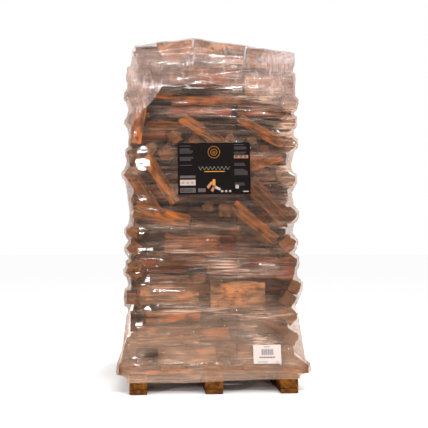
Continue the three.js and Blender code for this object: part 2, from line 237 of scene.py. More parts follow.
def film_material(name, tint, broad_scale, fine_scale):
    """Clear glossy film: evenly milky by haze, in streaks by crease, and more so seen at a slant. On the
    front's listed patches the crease milk is white painted highlight as well as real creased film.
    """
    s = Shader(name)
    place = s.node("TexCoord").outputs["Object"]
    haze = s.attribute("haze", "Fac")
    crease_and_highlight = s.attribute("crease_and_highlight", "Fac")
    wide = s.noise(s.stretched(place, broad_scale), 4.0, 0.6, 0.8)
    fine = s.noise(s.stretched(place, fine_scale), 4.0, 0.65)
    cloud = s.noise(s.stretched(place, (7.0, 7.0, 10.0)), 3.0)
    broad = s.math("POWER", s.remap(wide, 0.40, 0.68), 1.5)
    thin = s.remap(fine, 0.38, 0.66, 0.1, 1.8)
    streak = s.times(s.times(broad, 3.0), thin)
    streak = s.times(streak, s.remap(cloud, 0.36, 0.64, 0.4, 1.7))
    even = s.times(s.remap(thin, 0.1, 1.8, 0.72, 1.25), s.remap(cloud, 0.3, 0.7, 0.75, 1.25))
    facing = s.node("LayerWeight", {"Blend": 0.5}).outputs["Facing"]
    edge = s.times(s.math("POWER", facing, 2.5), 0.42)
    milk = s.plus(s.times(haze, even), s.times(crease_and_highlight, streak))
    milk = s.math("ADD", milk, edge, clamp=True)
    milk = s.math("MINIMUM", milk, 0.88)
    ridge = s.math("POWER", s.remap(wide, 0.50, 0.72), 1.5)
    wrinkle = s.times(ridge, s.remap(fine, 0.3, 0.7, 0.4, 1.6))
    pulled = s.plus(s.times(crease_and_highlight, 2.2), 0.55)
    normal = s.bump(s.times(wrinkle, pulled), 0.0045, 1.0)
    diffuse = s.node("BsdfDiffuse", {"Color": rgba(tint), "Normal": normal}).outputs[0]
    glow = s.node("BsdfTranslucent", {"Color": rgba(tint), "Normal": normal}).outputs[0]
    milky = s.node("MixShader", {0: 0.3, 1: diffuse, 2: glow}).outputs[0]
    clear = s.node("BsdfTransparent", {"Color": rgba((0.985, 0.950, 0.930))}).outputs[0]
    body = s.node("MixShader", {0: milk, 1: clear, 2: milky}).outputs[0]
    gloss = s.node("BsdfGlossy", {"Color": rgba((1, 1, 1)), "Roughness": 0.10, "Normal": normal}).outputs[0]
    shine = s.plus(s.times(s.math("POWER", facing, 4.0), 0.5), 0.008)
    shine = s.plus(shine, s.times(crease_and_highlight, 0.08))
    return s.finish(s.node("MixShader", {0: shine, 1: body, 2: gloss}).outputs[0])


def print_material(name, color, roughness, speckle=0.12):
    """Printed film or paper: one colour with a faint mottle and soft waves."""
    s = Shader(name)
    place = s.node("TexCoord").outputs["Object"]
    mottle = s.noise(s.stretched(place, (60.0, 60.0, 60.0)), 3.0)
    darker = tuple(c * (1 - speckle) for c in color)
    inputs = {
        "Base Color": s.mix(s.remap(mottle, 0.35, 0.65), rgba(darker), rgba(color)),
        "Roughness": s.remap(mottle, 0.3, 0.7, roughness - 0.05, roughness + 0.05),
        "Specular IOR Level": 0.03,
        "Normal": s.bump(s.noise(s.stretched(place, (14.0, 14.0, 50.0)), 2.0), 0.002, 0.5),
    }
    return s.finish(s.node("BsdfPrincipled", inputs).outputs[0])


# ---- meshes ----
NO_TRIS = np.zeros((0, 3), int)


def mesh_object(name, points, quads, tris, attributes, material, sharp_degrees=None):
    """An object from arrays, with float, vector and colour attributes on its points."""
    mesh = bpy.data.meshes.new(name)
    corners = np.concatenate([quads.ravel(), tris.ravel()]).astype(np.int32)
    starts = np.concatenate(
        [np.arange(len(quads)) * 4, len(quads) * 4 + np.arange(len(tris)) * 3]
    ).astype(np.int32)
    mesh.vertices.add(len(points))
    mesh.vertices.foreach_set("co", np.asarray(points, np.float32).ravel())
    mesh.loops.add(len(corners))
    mesh.loops.foreach_set("vertex_index", corners)
    mesh.polygons.add(len(starts))
    mesh.polygons.foreach_set("loop_start", starts)
    mesh.update(calc_edges=True)
    mesh.validate()
    for key, values in attributes.items():
        values = np.asarray(values, np.float32)
        if values.ndim == 1:
            mesh.attributes.new(key, "FLOAT", "POINT").data.foreach_set("value", values)
        elif values.shape[1] == 3:
            mesh.attributes.new(key, "FLOAT_VECTOR", "POINT").data.foreach_set("vector", values.ravel())
        else:
            mesh.attributes.new(key, "FLOAT_COLOR", "POINT").data.foreach_set("color", values.ravel())
    mesh.polygons.foreach_set("use_smooth", np.ones(len(mesh.polygons), bool))
    if sharp_degrees is not None:
        mesh.set_sharp_from_angle(angle=math.radians(sharp_degrees))
    mesh.materials.append(material)
    item = bpy.data.objects.new(name, mesh)
    bpy.context.scene.collection.objects.link(item)
    return item


SHARP_EDGE = 32  # degrees between faces, past which an edge of wood looks sharp


class Pile:
    """Pieces of wood joined in one mesh, with what the wood material reads from each point."""

    def __init__(self):
        self.count = 0
        self.points, self.quads, self.tris = [], [], []
        self.grain, self.tone, self.end, self.bark = [], [], [], []

    def add(self, points, quads, tris, grain, tone, end, bark):
        self.points.append(points)
        self.quads.append(quads + self.count)
        self.tris.append(tris + self.count)
        self.grain.append(grain)
        self.tone.append(np.tile(np.array(rgba(tone)), (len(points), 1)))
        self.end.append(end)
        self.bark.append(bark)
        self.count += len(points)

    def stand_for(self, node, material):
        """Builds the pile in place of a frame node, and returns its points."""
        attributes = {
            "grain": np.concatenate(self.grain),
            "tone": np.concatenate(self.tone),
            "end": np.concatenate(self.end),
            "bark": np.concatenate(self.bark),
        }
        quads, tris = np.concatenate(self.quads), np.concatenate(self.tris)
        points = np.concatenate(self.points)
        item = mesh_object(node + "_wood", points, quads, tris, attributes, material, SHARP_EDGE)
        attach(item, "root")
        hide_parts(node)
        return points


# ---- one piece of wood ----
def ring_faces(first, second, count):
    """Quads between two rings of points, from the index where each ring starts."""
    here = np.arange(count)
    after = (here + 1) % count
    return np.stack([first + here, first + after, second + after, second + here], axis=1)


def corner_wander(rng, outline, corner, after, share, lengths, amount):
    """How each long edge of a piece wanders in and out, as shifts of the points between the edges."""
    radial = outline - outline.mean(0)
    radial /= np.linalg.norm(radial, axis=1)[:, None]
    waves = rng.uniform(0, TAU, (2, len(outline)))
    along = lengths[:, :, 0]
    wander = np.sin(along * 4.1 + waves[0]) + 0.6 * np.sin(along * 10.5 + waves[1])
    wander = wander * rng.uniform(0.3, 1.0, len(outline)) * amount
    shifts = wander[:, :, None] * radial
    return shifts[:, corner] * (1 - share) + shifts[:, after] * share


def walk_outline(outline, axis, step):
    """Points about a step apart round an outline: each one's corner, its share of the way to the
    next, how far round it is, and the way out of its face, which fades at the corners."""
    sides = np.linalg.norm(np.roll(outline, -1, 0) - outline, axis=1)
    counts = np.maximum(2, np.round(sides / step)).astype(int)
    corner = np.repeat(np.arange(len(outline)), counts)
    after = (corner + 1) % len(outline)
    share = np.concatenate([np.arange(c) / c for c in counts])[:, None]
    outward = np.cross(outline[after] - outline[corner], axis)
    outward /= np.linalg.norm(outward, axis=1)[:, None]
    near_corner = 0.5 * np.minimum(share[:, 0], 1 - share[:, 0]) * counts[corner]
    outward = outward * np.clip(0.35 + near_corner, 0, 1)[:, None]
    along_outline = np.concatenate([[0], np.cumsum(np.repeat(sides / counts, counts))[:-1]])
    return corner, share, along_outline, outward


END_RINGS = (0.97, 0.62, 0.3)  # the rings of a sawn end, as shares of its outline


def closed_skin(rings):
    """Rings of points with a flat end on the first and the last: all points, quads and triangles."""
    total, count = rings.shape[:2]
    ends = []
    for ring in (rings[0], rings[-1]):
        centre = ring.mean(0)
        ends.append((centre, [centre + (ring - centre) * keep for keep in END_RINGS]))
    stacked = np.concatenate([*rings, *ends[0][1], *ends[1][1], [ends[0][0]], [ends[1][0]]])
    steps = len(END_RINGS)
    at_start = [0, *range(total, total + steps)]
    at_end = [total - 1, *range(total + steps, total + 2 * steps)]
    chain = [(i, i + 1) for i in range(total - 1)]
    chain += [(b, a) for a, b in zip(at_start, at_start[1:])]
    chain += list(zip(at_end, at_end[1:]))
    quads = np.concatenate([ring_faces(a * count, b * count, count) for a, b in chain])
    here = np.arange(count)
    after = (here + 1) % count
    hub = np.full(count, (total + 2 * steps) * count)
    inner_start, inner_end = at_start[-1] * count, at_end[-1] * count
    fan_start = np.stack([hub, inner_start + after, inner_start + here], 1)
    fan_end = np.stack([hub + 1, inner_end + here, inner_end + after], 1)
    return stacked, quads, np.concatenate([fan_start, fan_end])


def grain_space(rng, points, axis, middle, bark_way):
    """Each point's place along the fibres and across them, measured from the log's pith."""
    first_way = np.cross(axis, Z_AXIS if abs(axis[2]) < 0.8 else X_AXIS)
    first_way /= np.linalg.norm(first_way)
    second_way = np.cross(axis, first_way)
    if bark_way is None:
        angle = rng.uniform(0, TAU)
        pith_way = math.cos(angle) * first_way + math.sin(angle) * second_way
    else:
        pith_way = -bark_way
    offset = points - (middle + pith_way * rng.uniform(0.03, 0.07))
    return np.stack([offset @ axis + rng.uniform(0, 40), offset @ first_way, offset @ second_way], 1)


def skin_wood(pile, start, end, rng, tone, bark_way=None, step=0.0065, rings=22, rough=1.0):
    """Adds one piece of wood between two matching outlines: split faces, bark and sawn ends."""
    axis = end.mean(0) - start.mean(0)
    length = np.linalg.norm(axis)
    axis = axis / length
    middle = (start + end) / 2
    turn = np.cross(middle, np.roll(middle, -1, 0)).sum(0) @ axis
    if turn < 0:
        start, end, middle = start[::-1], end[::-1], middle[::-1]

    corner, share, along_outline, outward = walk_outline(middle, axis, step)
    after = (corner + 1) % len(middle)
    around_start = start[corner] * (1 - share) + start[after] * share
    around_end = end[corner] * (1 - share) + end[after] * share
    is_bark = np.zeros(len(corner))
    if bark_way is not None:
        is_bark = (outward @ bark_way > 0.45).astype(float)

    lengths = np.linspace(0, 1, rings + 1)[:, None, None]
    points = around_start * (1 - lengths) + around_end * lengths
    across, along = along_outline[None, :], lengths[:, :, 0] * length
    relief = ripple(rng, across, along, 0.012, 12, 0.0011 * rough)
    relief += ripple(rng, across, along, 0.034, 7, 0.0019 * rough)
    crust = ripple(rng, across, along, 0.015, 2.5, 0.0022 * rough)
    relief = relief * (1 - is_bark) + (crust - 0.001) * is_bark
    points = points + relief[:, :, None] * outward
    sway = np.cross(axis, rng.normal(size=3))
    bow = (4 * lengths * (1 - lengths)) * rng.uniform(-1, 1) * 0.004 * rough
    points = points + bow * sway / np.linalg.norm(sway)
    points = points + corner_wander(rng, middle, corner, after, share, lengths, 0.0030 * rough)

    stacked, quads, tris = closed_skin(points)
    side_count = points.shape[0] * points.shape[1]
    on_end = (np.arange(len(stacked)) >= side_count).astype(float)
    bark = np.zeros(len(stacked))
    bark[:side_count] = np.tile(is_bark, len(points))
    grain = grain_space(rng, stacked, axis, middle.mean(0), bark_way)
    pile.add(stacked, quads, tris, grain, tone, on_end, bark)


# ---- outlines ----
SECTIONS = {
    "plank": [(-0.5, -0.5), (0.5, -0.46), (0.47, 0.5), (-0.48, 0.46)],
    "split": [(-0.42, -0.5), (0.5, -0.44), (0.46, 0.5), (-0.34, 0.47), (-0.5, 0.06)],
    "wedge": [(-0.5, -0.42), (-0.1, -0.5), (0.4, -0.3), (0.5, 0.12), (0.1, 0.44), (-0.36, 0.5)],
    "billet": [(-0.5, -0.2), (-0.16, -0.5), (0.42, -0.42), (0.5, 0.26), (0.05, 0.5), (-0.4, 0.38)],
}


def turned(points, tilt, yaw, roll=0.0):
    """Rolls about X, lifts the +X end by tilt, then turns by yaw about Z, in degrees."""
    for angle, first, second in ((roll, 1, 2), (tilt, 0, 2), (yaw, 0, 1)):
        c, s = math.cos(math.radians(angle)), math.sin(math.radians(angle))
        a, b = points[:, first].copy(), points[:, second].copy()
        points[:, first], points[:, second] = a * c - b * s, a * s + b * c
    return points


def log_outlines(section, length, depth, height, centre, tilt=0.0, yaw=0.0, roll=0.0, taper=1.0, rng=None):
    """The start and end outlines of a log placed as the frame places it. With rng they are uneven."""
    outline = np.array(SECTIONS[section]) * (depth, height)
    if rng is not None:
        outline = outline * rng.uniform(0.82, 1.02, (len(outline), 1))
    made = []
    for way, scale in ((-0.5, 1.0), (0.5, taper)):
        flat = np.column_stack([np.full(len(outline), way * length), outline * scale])
        made.append(turned(flat, tilt, yaw, roll) + centre)
    return made


def node_outlines(node):
    """The two matching end outlines of a frame log, from its own points."""
    points = []
    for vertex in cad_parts[node].data.vertices:
        place = np.array(vertex.co)
        if all(np.linalg.norm(place - other) > 2e-4 for other in points):
            points.append(place)
    points = np.array(points)
    spread = points - points.mean(0)
    axis = np.linalg.svd(spread)[2][0]
    side = spread @ axis > 0
    start, end = points[~side], points[side]
    axis = end.mean(0) - start.mean(0)
    axis /= np.linalg.norm(axis)
    first_way = np.cross(axis, Z_AXIS if abs(axis[2]) < 0.8 else X_AXIS)
    second_way = np.cross(axis, first_way)
    ordered = []
    for outline in (start, end):
        offset = outline - outline.mean(0)
        ordered.append(outline[np.argsort(np.arctan2(offset @ second_way, offset @ first_way))])
    start, end = ordered
    shifts = [np.roll(end, k, 0) for k in range(len(end))]
    misfit = [np.linalg.norm((other - start) - (other - start).mean(0)) for other in shifts]
    return start, shifts[int(np.argmin(misfit))]


# ---- wood tones ----
TONES = {
    "orange": (0.178, 0.057, 0.010),
    "brown": (0.126, 0.040, 0.009),
    "pale": (0.205, 0.096, 0.044),
    "red": (0.102, 0.026, 0.007),
    # Darker than the wood itself: on the logs behind the front and inside the stack, this tone is painted
    # shade.
    "dark": (0.042, 0.015, 0.005),
    "grey": (0.094, 0.041, 0.019),
}
# The tone of each front log, in the order of its number.
FRONT_TONES = """pale pale orange pale pale brown brown red brown orange orange brown orange orange brown
orange orange orange orange red brown pale brown grey""".split()


def mixed_tone(rng, names=("orange", "brown", "brown", "red", "dark", "grey", "pale")):
    base = np.array(TONES[names[int(rng.integers(len(names)))]])
    return tuple(base * rng.uniform(0.8, 1.15) * rng.uniform(0.94, 1.06, 3))


# ---- the logs ----
def add_front_logs(material):
    """Each front log of the frame, remade with split faces and sawn ends. Returns its points."""
    points = []
    for number in range(1, FRONT_LOG_COUNT + 1):
        node = f"front_log_{number:02d}"
        rng = np.random.default_rng(100 + number)
        start, end = node_outlines(node)
        pile = Pile()
        bark_way = Y_AXIS if number % 3 else Z_AXIS
        tone = tuple(np.array(TONES[FRONT_TONES[number - 1]]) * rng.uniform(0.92, 1.1))
        skin_wood(pile, start, end, rng, tone, bark_way, step=0.005, rings=34, rough=1.6)
        points.append(pile.stand_for(node, material))
    return points


# Log ends at the front that the frame joins to the wood behind: x, z, width, height and layer.
JOINED_ENDS = {
    "left_lower": [(-0.348, 0.398, 0.046, 0.050, FRONT_Y, "red")],
    "left_middle": [
        (-0.333, 0.533, 0.066, 0.046, FRONT_Y, "brown"),
        (-0.345, 0.679, 0.048, 0.054, FRONT_Y, "orange"),
    ],
    "left_upper": [(-0.338, 1.006, 0.062, 0.078, BACK_LAYER_Y, "red")],
    "right_lower": [(0.318, 0.167, 0.056, 0.052, FRONT_Y, "orange")],
    # Back-layer ends in the dark tone are painted shade between the front logs.
    "core_lower": [
        (-0.060, 0.480, 0.070, 0.050, BACK_LAYER_Y, "brown"),
        (0.020, 0.330, 0.060, 0.050, BACK_LAYER_Y, "dark"),
    ],
    "core_upper": [
        (-0.200, 1.019, 0.078, 0.072, BACK_LAYER_Y, "brown"),
        (-0.080, 1.080, 0.060, 0.044, BACK_LAYER_Y, "orange"),
        (-0.268, 1.043, 0.056, 0.060, BACK_LAYER_Y, "brown"),
        (0.298, 0.935, 0.044, 0.052, BACK_LAYER_Y, "pale"),
        (0.075, 1.087, 0.042, 0.046, BACK_LAYER_Y, "orange"),
        (0.171, 1.083, 0.056, 0.046, BACK_LAYER_Y, "dark"),
        (0.228, 1.040, 0.050, 0.042, BACK_LAYER_Y, "red"),
        (-0.020, 0.790, 0.060, 0.050, BACK_LAYER_Y, "dark"),
        (0.055, 0.775, 0.056, 0.060, BACK_LAYER_Y, "brown"),
    ],
    "top": [],
}


def add_joined_ends(pile, group, rng):
    for x, z, width, height, front, tone in JOINED_ENDS.get(group, ()):
        centre = np.array([x, front + LOG_LENGTH / 2, z])
        kind = ("billet", "split", "wedge")[int(rng.integers(3))]
        start, end = log_outlines(kind, LOG_LENGTH, width, height, centre, yaw=90, rng=rng)
        skin_wood(pile, start, end, rng, TONES[tone], step=0.006)


# Short or leaning logs of the front's second layer: section, length, height, x, z, tilt, tone.
# The dark-toned ones are painted shade, seen through the gaps between the front logs.
SECOND_LAYER = {
    "lower": [
        ("plank", 0.200, 0.044, 0.270, 0.285, -37, "brown"),
        ("split", 0.180, 0.050, -0.020, 0.240, 3, "brown"),
    ],
    "upper": [
        ("plank", 0.085, 0.048, -0.215, 1.280, -4, "orange"),
        ("split", 0.110, 0.040, -0.258, 1.097, 4, "red"),
        ("plank", 0.300, 0.044, -0.030, 1.252, 1, "brown"),
        ("split", 0.280, 0.040, -0.060, 1.205, -1, "red"),
        ("split", 0.210, 0.056, 0.010, 0.705, -6, "dark"),
        ("plank", 0.220, 0.050, -0.060, 0.850, 12, "dark"),
        ("split", 0.160, 0.048, -0.060, 1.020, -50, "dark"),
    ],
}


def add_second_layer(pile, half, rng):
    depth = 0.042
    for kind, length, height, x, z, tilt, tone in SECOND_LAYER[half]:
        centre = np.array([x, BACK_LAYER_Y + depth / 2 - 0.004, z])
        start, end = log_outlines(kind, length, depth, height, centre, tilt, rng=rng)
        skin_wood(pile, start, end, rng, TONES[tone], step=0.006)


def row_log(side, row, bay):
    """One row log against a side, as the frame lays it: its height and how it is cut."""
    seed = 1 + side * 400 + row * 20 + bay
    tilt = (chance(seed) - 0.5) * 8
    length = BAY - 0.006 - 0.014 * chance(seed + 0.3)
    room = ROW_HEIGHT * (0.86 + 0.11 * chance(seed + 0.5))
    return {
        "z": STACK_BOTTOM + (row + 0.5) * ROW_HEIGHT,
        "length": length,
        "height": room - length * abs(math.sin(math.radians(tilt))),
        "inset": INSET * chance(seed + 0.7) ** 2,
        "section": "split" if chance(seed + 0.9) < 0.5 else "plank",
        "tilt": tilt,
        "across": chance(seed + 0.15) < 0.22,
    }


def row_logs(rng, side, row, bays, row_start):
    """The logs of one row, moved and cut to uneven joints, so that joints don't line up."""
    joints = np.arange(bays + 1) / bays
    joints[1:-1] += rng.uniform(-0.22, 0.22, bays - 1) / bays
    joints = row_start + joints * BAY * bays
    logs = [row_log(side, row, bay) for bay in range(bays)]
    for log, low, high in zip(logs, joints, joints[1:]):
        log["along"] = (low + high) / 2
        log["length"] *= (high - low) / BAY
    return logs


def lay_row_log(pile, log, origin, along_way, out_way, rng):
    """A log lying along a side, or three log ends facing out in its place."""
    along = np.array(along_way, float)
    out = np.array(out_way, float)
    height_z = np.array([0, 0, log["z"]])
    yaw = math.degrees(math.atan2(-out[0], out[1])) + 180
    reach = origin - log["inset"]
    if log["across"]:
        for part in (-1, 0, 1):
            width = log["length"] / 3 * rng.uniform(0.82, 0.95)
            tall = ROW_HEIGHT * rng.uniform(0.7, 0.93)
            spot = along * (log["along"] + part * log["length"] / 3)
            centre = spot + out * (reach - rng.uniform(0, 0.02) - LOG_LENGTH / 2) + height_z
            kind = ("billet", "wedge", "split")[int(rng.integers(3))]
            turn = yaw - 90 + rng.uniform(-5, 5)
            start, end = log_outlines(kind, LOG_LENGTH, width, tall, centre, yaw=turn, rng=rng)
            bark_way = Z_AXIS if rng.uniform() < 0.5 else -Z_AXIS
            skin_wood(pile, start, end, rng, mixed_tone(rng), bark_way, step=0.009, rings=8)
        return
    depth = ROW_DEPTH - log["inset"] + BACKING / 2
    centre = along * log["along"] + out * (reach - depth / 2) + height_z
    start, end = log_outlines(
        log["section"], log["length"], depth, log["height"], centre, log["tilt"], yaw, rng=rng
    )
    bark_way = out if rng.uniform() < 0.25 else -out
    skin_wood(pile, start, end, rng, mixed_tone(rng), bark_way, step=0.0085, rings=16)


TIERS = {"lower": range(0, 4), "middle": range(4, 8), "upper": range(8, ROWS)}

TIP_ROOM = 0.055  # a row log nearer in height than this steps back from a corner tip

# Logs at the front corners whose tips push the film out: side, height and how far out.
CORNER_TIPS = [
    (-1, 1.352, 0.366),
    (-1, 1.257, 0.376),
    (-1, 1.172, 0.370),
    (-1, 0.932, 0.384),
    (-1, 0.698, 0.360),
    (-1, 0.612, 0.372),
    (-1, 0.516, 0.376),
    (-1, 0.400, 0.352),
    (-1, 0.227, 0.372),
    (1, 1.237, 0.364),
    (1, 1.150, 0.358),
    (1, 1.057, 0.362),
    (1, 0.900, 0.354),
    (1, 0.753, 0.364),
    (1, 0.625, 0.360),
    (1, 0.558, 0.366),
    (1, 0.500, 0.352),
    (1, 0.446, 0.378),
    (1, 0.388, 0.356),
    (1, 0.330, 0.364),
    (1, 0.227, 0.366),
]


def add_corner_tips(pile, side, tier, rng):
    low = STACK_BOTTOM + TIERS[tier][0] * ROW_HEIGHT
    high = STACK_BOTTOM + (TIERS[tier][-1] + 1) * ROW_HEIGHT
    for way, z, reach in CORNER_TIPS:
        if way != side or not low <= z < high:
            continue
        width = rng.uniform(0.052, 0.066)
        yaw = 90 + way * rng.uniform(6, 12)
        turn = rng.uniform(15, 45)
        lean = rng.uniform(-6, 6)
        place = np.array([way * reach, FRONT_Y + 0.02 + LOG_LENGTH / 2, z])
        start, end = log_outlines("split", LOG_LENGTH, width, width, place, lean, yaw, turn)
        both = np.concatenate([start, end])
        shift = way * reach - way * np.max(both[:, 0] * way)
        start[:, 0] += shift
        end[:, 0] += shift
        skin_wood(pile, start, end, rng, mixed_tone(rng, ("red", "brown", "orange")), step=0.006)


def add_side_logs(material):
    """The rows of logs against the left and the right, tier by tier."""
    points = []
    for side, name, number in ((-1, "left", 0), (1, "right", 1)):
        tips = [z for way, z, _ in CORNER_TIPS if way == side]
        for tier, rows in TIERS.items():
            rng = np.random.default_rng(500 + number * 10 + rows[0])
            pile = Pile()
            for row in rows:
                for bay, log in enumerate(row_logs(rng, number, row, SIDE_BAYS, SIDE_FRONT_Y)):
                    if bay == 0 and any(abs(z - log["z"]) < TIP_ROOM for z in tips):
                        log["inset"] = 0.03
                        log["across"] = False
                    lay_row_log(pile, log, HALF_X, (0, 1, 0), (side, 0, 0), rng)
            add_corner_tips(pile, side, tier, rng)
            add_joined_ends(pile, f"{name}_{tier}", rng)
            points.append(pile.stand_for(f"logs_{name}_{tier}", material))
    return points


def add_back_logs(material):
    """The rows of logs against the back, tier by tier."""
    points = []
    for tier, rows in TIERS.items():
        rng = np.random.default_rng(700 + rows[0])
        pile = Pile()
        for row in rows:
            for log in row_logs(rng, 2, row, BACK_BAYS, -BAY * BACK_BAYS / 2):
                lay_row_log(pile, log, HALF_Y, (1, 0, 0), (0, 1, 0), rng)
        points.append(pile.stand_for(f"logs_back_{tier}", material))
    return points


CORE_PITCH, HIDDEN_PITCH = 0.222, 0.172  # between logs side by side: behind the front, and inside


def add_core_logs(material):
    """Logs behind the front ones, and the plainer ones inside the stack."""
    slices = np.arange(CORE_FRONT_Y + 0.13, SIDE_BACK_Y - 0.03, 0.09)
    # Half of these tones are dark, as painted shade on the logs behind the front.
    tones = ("brown", "dark", "dark", "red", "dark", "grey")
    for half, rows in (("lower", range(0, 6)), ("upper", range(6, ROWS))):
        rng = np.random.default_rng(800 + rows[0])
        pile = Pile()
        for row in rows:
            z = STACK_BOTTOM + (row + 0.5) * ROW_HEIGHT
            for bay in (-1, 0, 1):
                x = bay * CORE_PITCH + rng.uniform(-0.006, 0.006)
                y = CORE_FRONT_Y + rng.uniform(0.0, 0.030) + 0.03
                centre = np.array([x, y, z + rng.uniform(-0.014, 0.014)])
                kind = ("split", "plank", "wedge")[int(rng.integers(3))]
                tall = ROW_HEIGHT * rng.uniform(0.72, 0.92)
                lean = rng.uniform(-9, 9)
                ends = log_outlines(kind, 0.212, 0.08, tall, centre, lean)
                skin_wood(pile, *ends, rng, mixed_tone(rng, tones), step=0.008, rings=16)
            # The plainer logs inside the stack are all in the dark tone, as painted shade.
            for bay in (-1, 0, 1):
                for step, slice_y in enumerate(slices):
                    shift = 0.25 * ROW_HEIGHT * (1 if step % 2 else -1)
                    centre = np.array([bay * HIDDEN_PITCH + 0.02 * (step % 2), slice_y, z + shift])
                    start, end = log_outlines("plank", 0.17, 0.085, 0.093, centre, rng.uniform(-4, 4))
                    skin_wood(pile, start, end, rng, TONES["dark"], step=0.04, rings=2)
        add_joined_ends(pile, f"core_{half}", rng)
        add_second_layer(pile, half, rng)
        pile.stand_for(f"logs_core_{half}", material)


def add_top_logs(material):
    """The top layer: rows of logs lying across the stack, uneven in height."""
    rng = np.random.default_rng(900)
    pile = Pile()
    front = [
        ("split", 0.150, 0.100, 0.086, -0.164, 1.461, 7.0, "pale"),
        ("split", 0.220, 0.100, 0.080, 0.024, 1.462, -5.5, "pale"),
        ("split", 0.200, 0.100, 0.084, 0.242, 1.428, -8.0, "pale"),
        ("split", 0.094, 0.100, 0.108, -0.282, 1.425, 5.0, "red"),
        ("wedge", 0.220, 0.090, 0.090, -0.250, 1.335, 2.0, "grey"),
    ]
    for kind, length, depth, height, x, z, tilt, tone in front:
        centre = np.array([x, FRONT_Y + depth / 2 + 0.004, z])
        start, end = log_outlines(kind, length, depth, height, centre, tilt)
        skin_wood(pile, start, end, rng, TONES[tone], step=0.006, rings=26)
    low = STACK_TOP + 0.0003
    rows = 4
    pitch = (HALF_Y - 0.030 - CORE_FRONT_Y - 0.010) / rows
    for row in range(rows):
        for bay in range(3):
            seed = 901 + row * 10 + bay
            kind = "split" if chance(seed) < 0.5 else "wedge"
            length = 0.188 + 0.022 * chance(seed + 0.2)
            depth = 0.120 + 0.060 * chance(seed + 0.4)
            z = low + 0.068 + 0.012 * chance(seed + 0.6) - 0.014 * abs(bay - 1)
            centre = np.array([(bay - 1) * 0.220, CORE_FRONT_Y + 0.020 + (row + 0.5) * pitch, z])
            yaw = 20 * (chance(seed + 0.8) - 0.5)
            start, end = log_outlines(kind, length, depth, 0.070, centre, rng.uniform(-3, 3), yaw)
            skin_wood(pile, start, end, rng, mixed_tone(rng), Z_AXIS, step=0.008, rings=18)
            for part in (-0.25, 0.25):
                under = centre + np.array([rng.uniform(-0.02, 0.02), part * pitch, -0.062])
                start, end = log_outlines("split", 0.24, 0.12, 0.07, under, 0.0, rng.uniform(-6, 6))
                skin_wood(pile, start, end, rng, mixed_tone(rng), Z_AXIS, step=0.012, rings=10)
    return [pile.stand_for("logs_top", material)]


# ---- pallet ----
PALLET_TONE = (0.230, 0.072, 0.004)


def add_pallet(material):
    """Every board, block and runner of the frame's pallet, with bevelled edges, darker towards the bottom.
    """
    names = [n for n in sorted(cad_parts) if n.startswith("pallet_")]
    points = []
    for number, node in enumerate(names):
        rng = np.random.default_rng(300 + number)
        low, high = (np.array(corner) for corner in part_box(node))
        size, centre = high - low, (high + low) / 2
        long_way = int(np.argmax(size)) if "block" not in node else 1
        first, second = [i for i in range(3) if i != long_way]
        bevel = 0.0025
        half = size / 2 - 0.0008
        outline = []
        for sign_a, sign_b in ((-1, -1), (1, -1), (1, 1), (-1, 1)):
            along_first = (sign_a * (half[first] - bevel), sign_b * half[second])
            along_second = (sign_a * half[first], sign_b * (half[second] - bevel))
            turning = sign_a * sign_b > 0
            outline += [along_second, along_first] if turning else [along_first, along_second]
        ends = []
        for way in (-1, 1):
            ring = np.zeros((8, 3))
            ring[:, first] = [p[0] for p in outline]
            ring[:, second] = [p[1] for p in outline]
            ring[:, long_way] = way * half[long_way]
            ends.append(ring + centre)
        pile = Pile()
        shade = rng.uniform(0.8, 1.15)
        tone = tuple(np.array(PALLET_TONE) * shade)
        rings = int(size[long_way] / 0.03) + 2
        skin_wood(pile, *ends, rng, tone, step=0.008, rings=rings, rough=0.16)
        # Each point's tone darkens towards the bottom of the pallet, by height alone.
        low_darkening = 0.28 + 0.72 * np.clip((pile.points[0][:, 2] - 0.010) / 0.045, 0, 1)
        pile.tone[0][:, :3] *= low_darkening[:, None]
        points.append(pile.stand_for(node, material))
    return points


# ---- film shape ----
ANGLES = 628
FILM_STEP = 0.009
FILM_LOW, FILM_HIGH = 0.044, 1.462
FILM_SHOULDER = 1.440  # where the cover sheet bends from the top to the sides
FILM_SAG = 0.145  # how fast film falls back from a tip that it is drawn over
TENT_LEVELS = 24  # how many levels up and down a tip pulls the film out
FILM_CLEARANCE = 0.0035
GIRTH = 3.7  # the way round the load
FRONT_PART = -0.3  # film with a smaller y than this is on the front


def reach_map(points, levels):
    """The furthest point in each direction at each height: rows are levels, columns are angles."""
    angle = np.arctan2(points[:, 1], points[:, 0]) % TAU
    column = (angle / TAU * ANGLES).astype(int) % ANGLES
    row = np.round((points[:, 2] - levels[0]) / (levels[1] - levels[0])).astype(int)
    inside = (row >= 0) & (row < len(levels))
    reach = np.zeros((len(levels), ANGLES))
    np.maximum.at(reach, (row[inside], column[inside]), np.hypot(points[:, 0], points[:, 1])[inside])
    return reach


def tented(reach, step, sag):
    """Each level pulled out by the tips above and below it, with the film sagging between them."""
    best = reach.copy()
    for k in range(1, TENT_LEVELS):
        drop = sag * (k * step) ** 0.62
        best[k:] = np.maximum(best[k:], reach[:-k] - drop)
        best[:-k] = np.maximum(best[:-k], reach[k:] - drop)
    return best


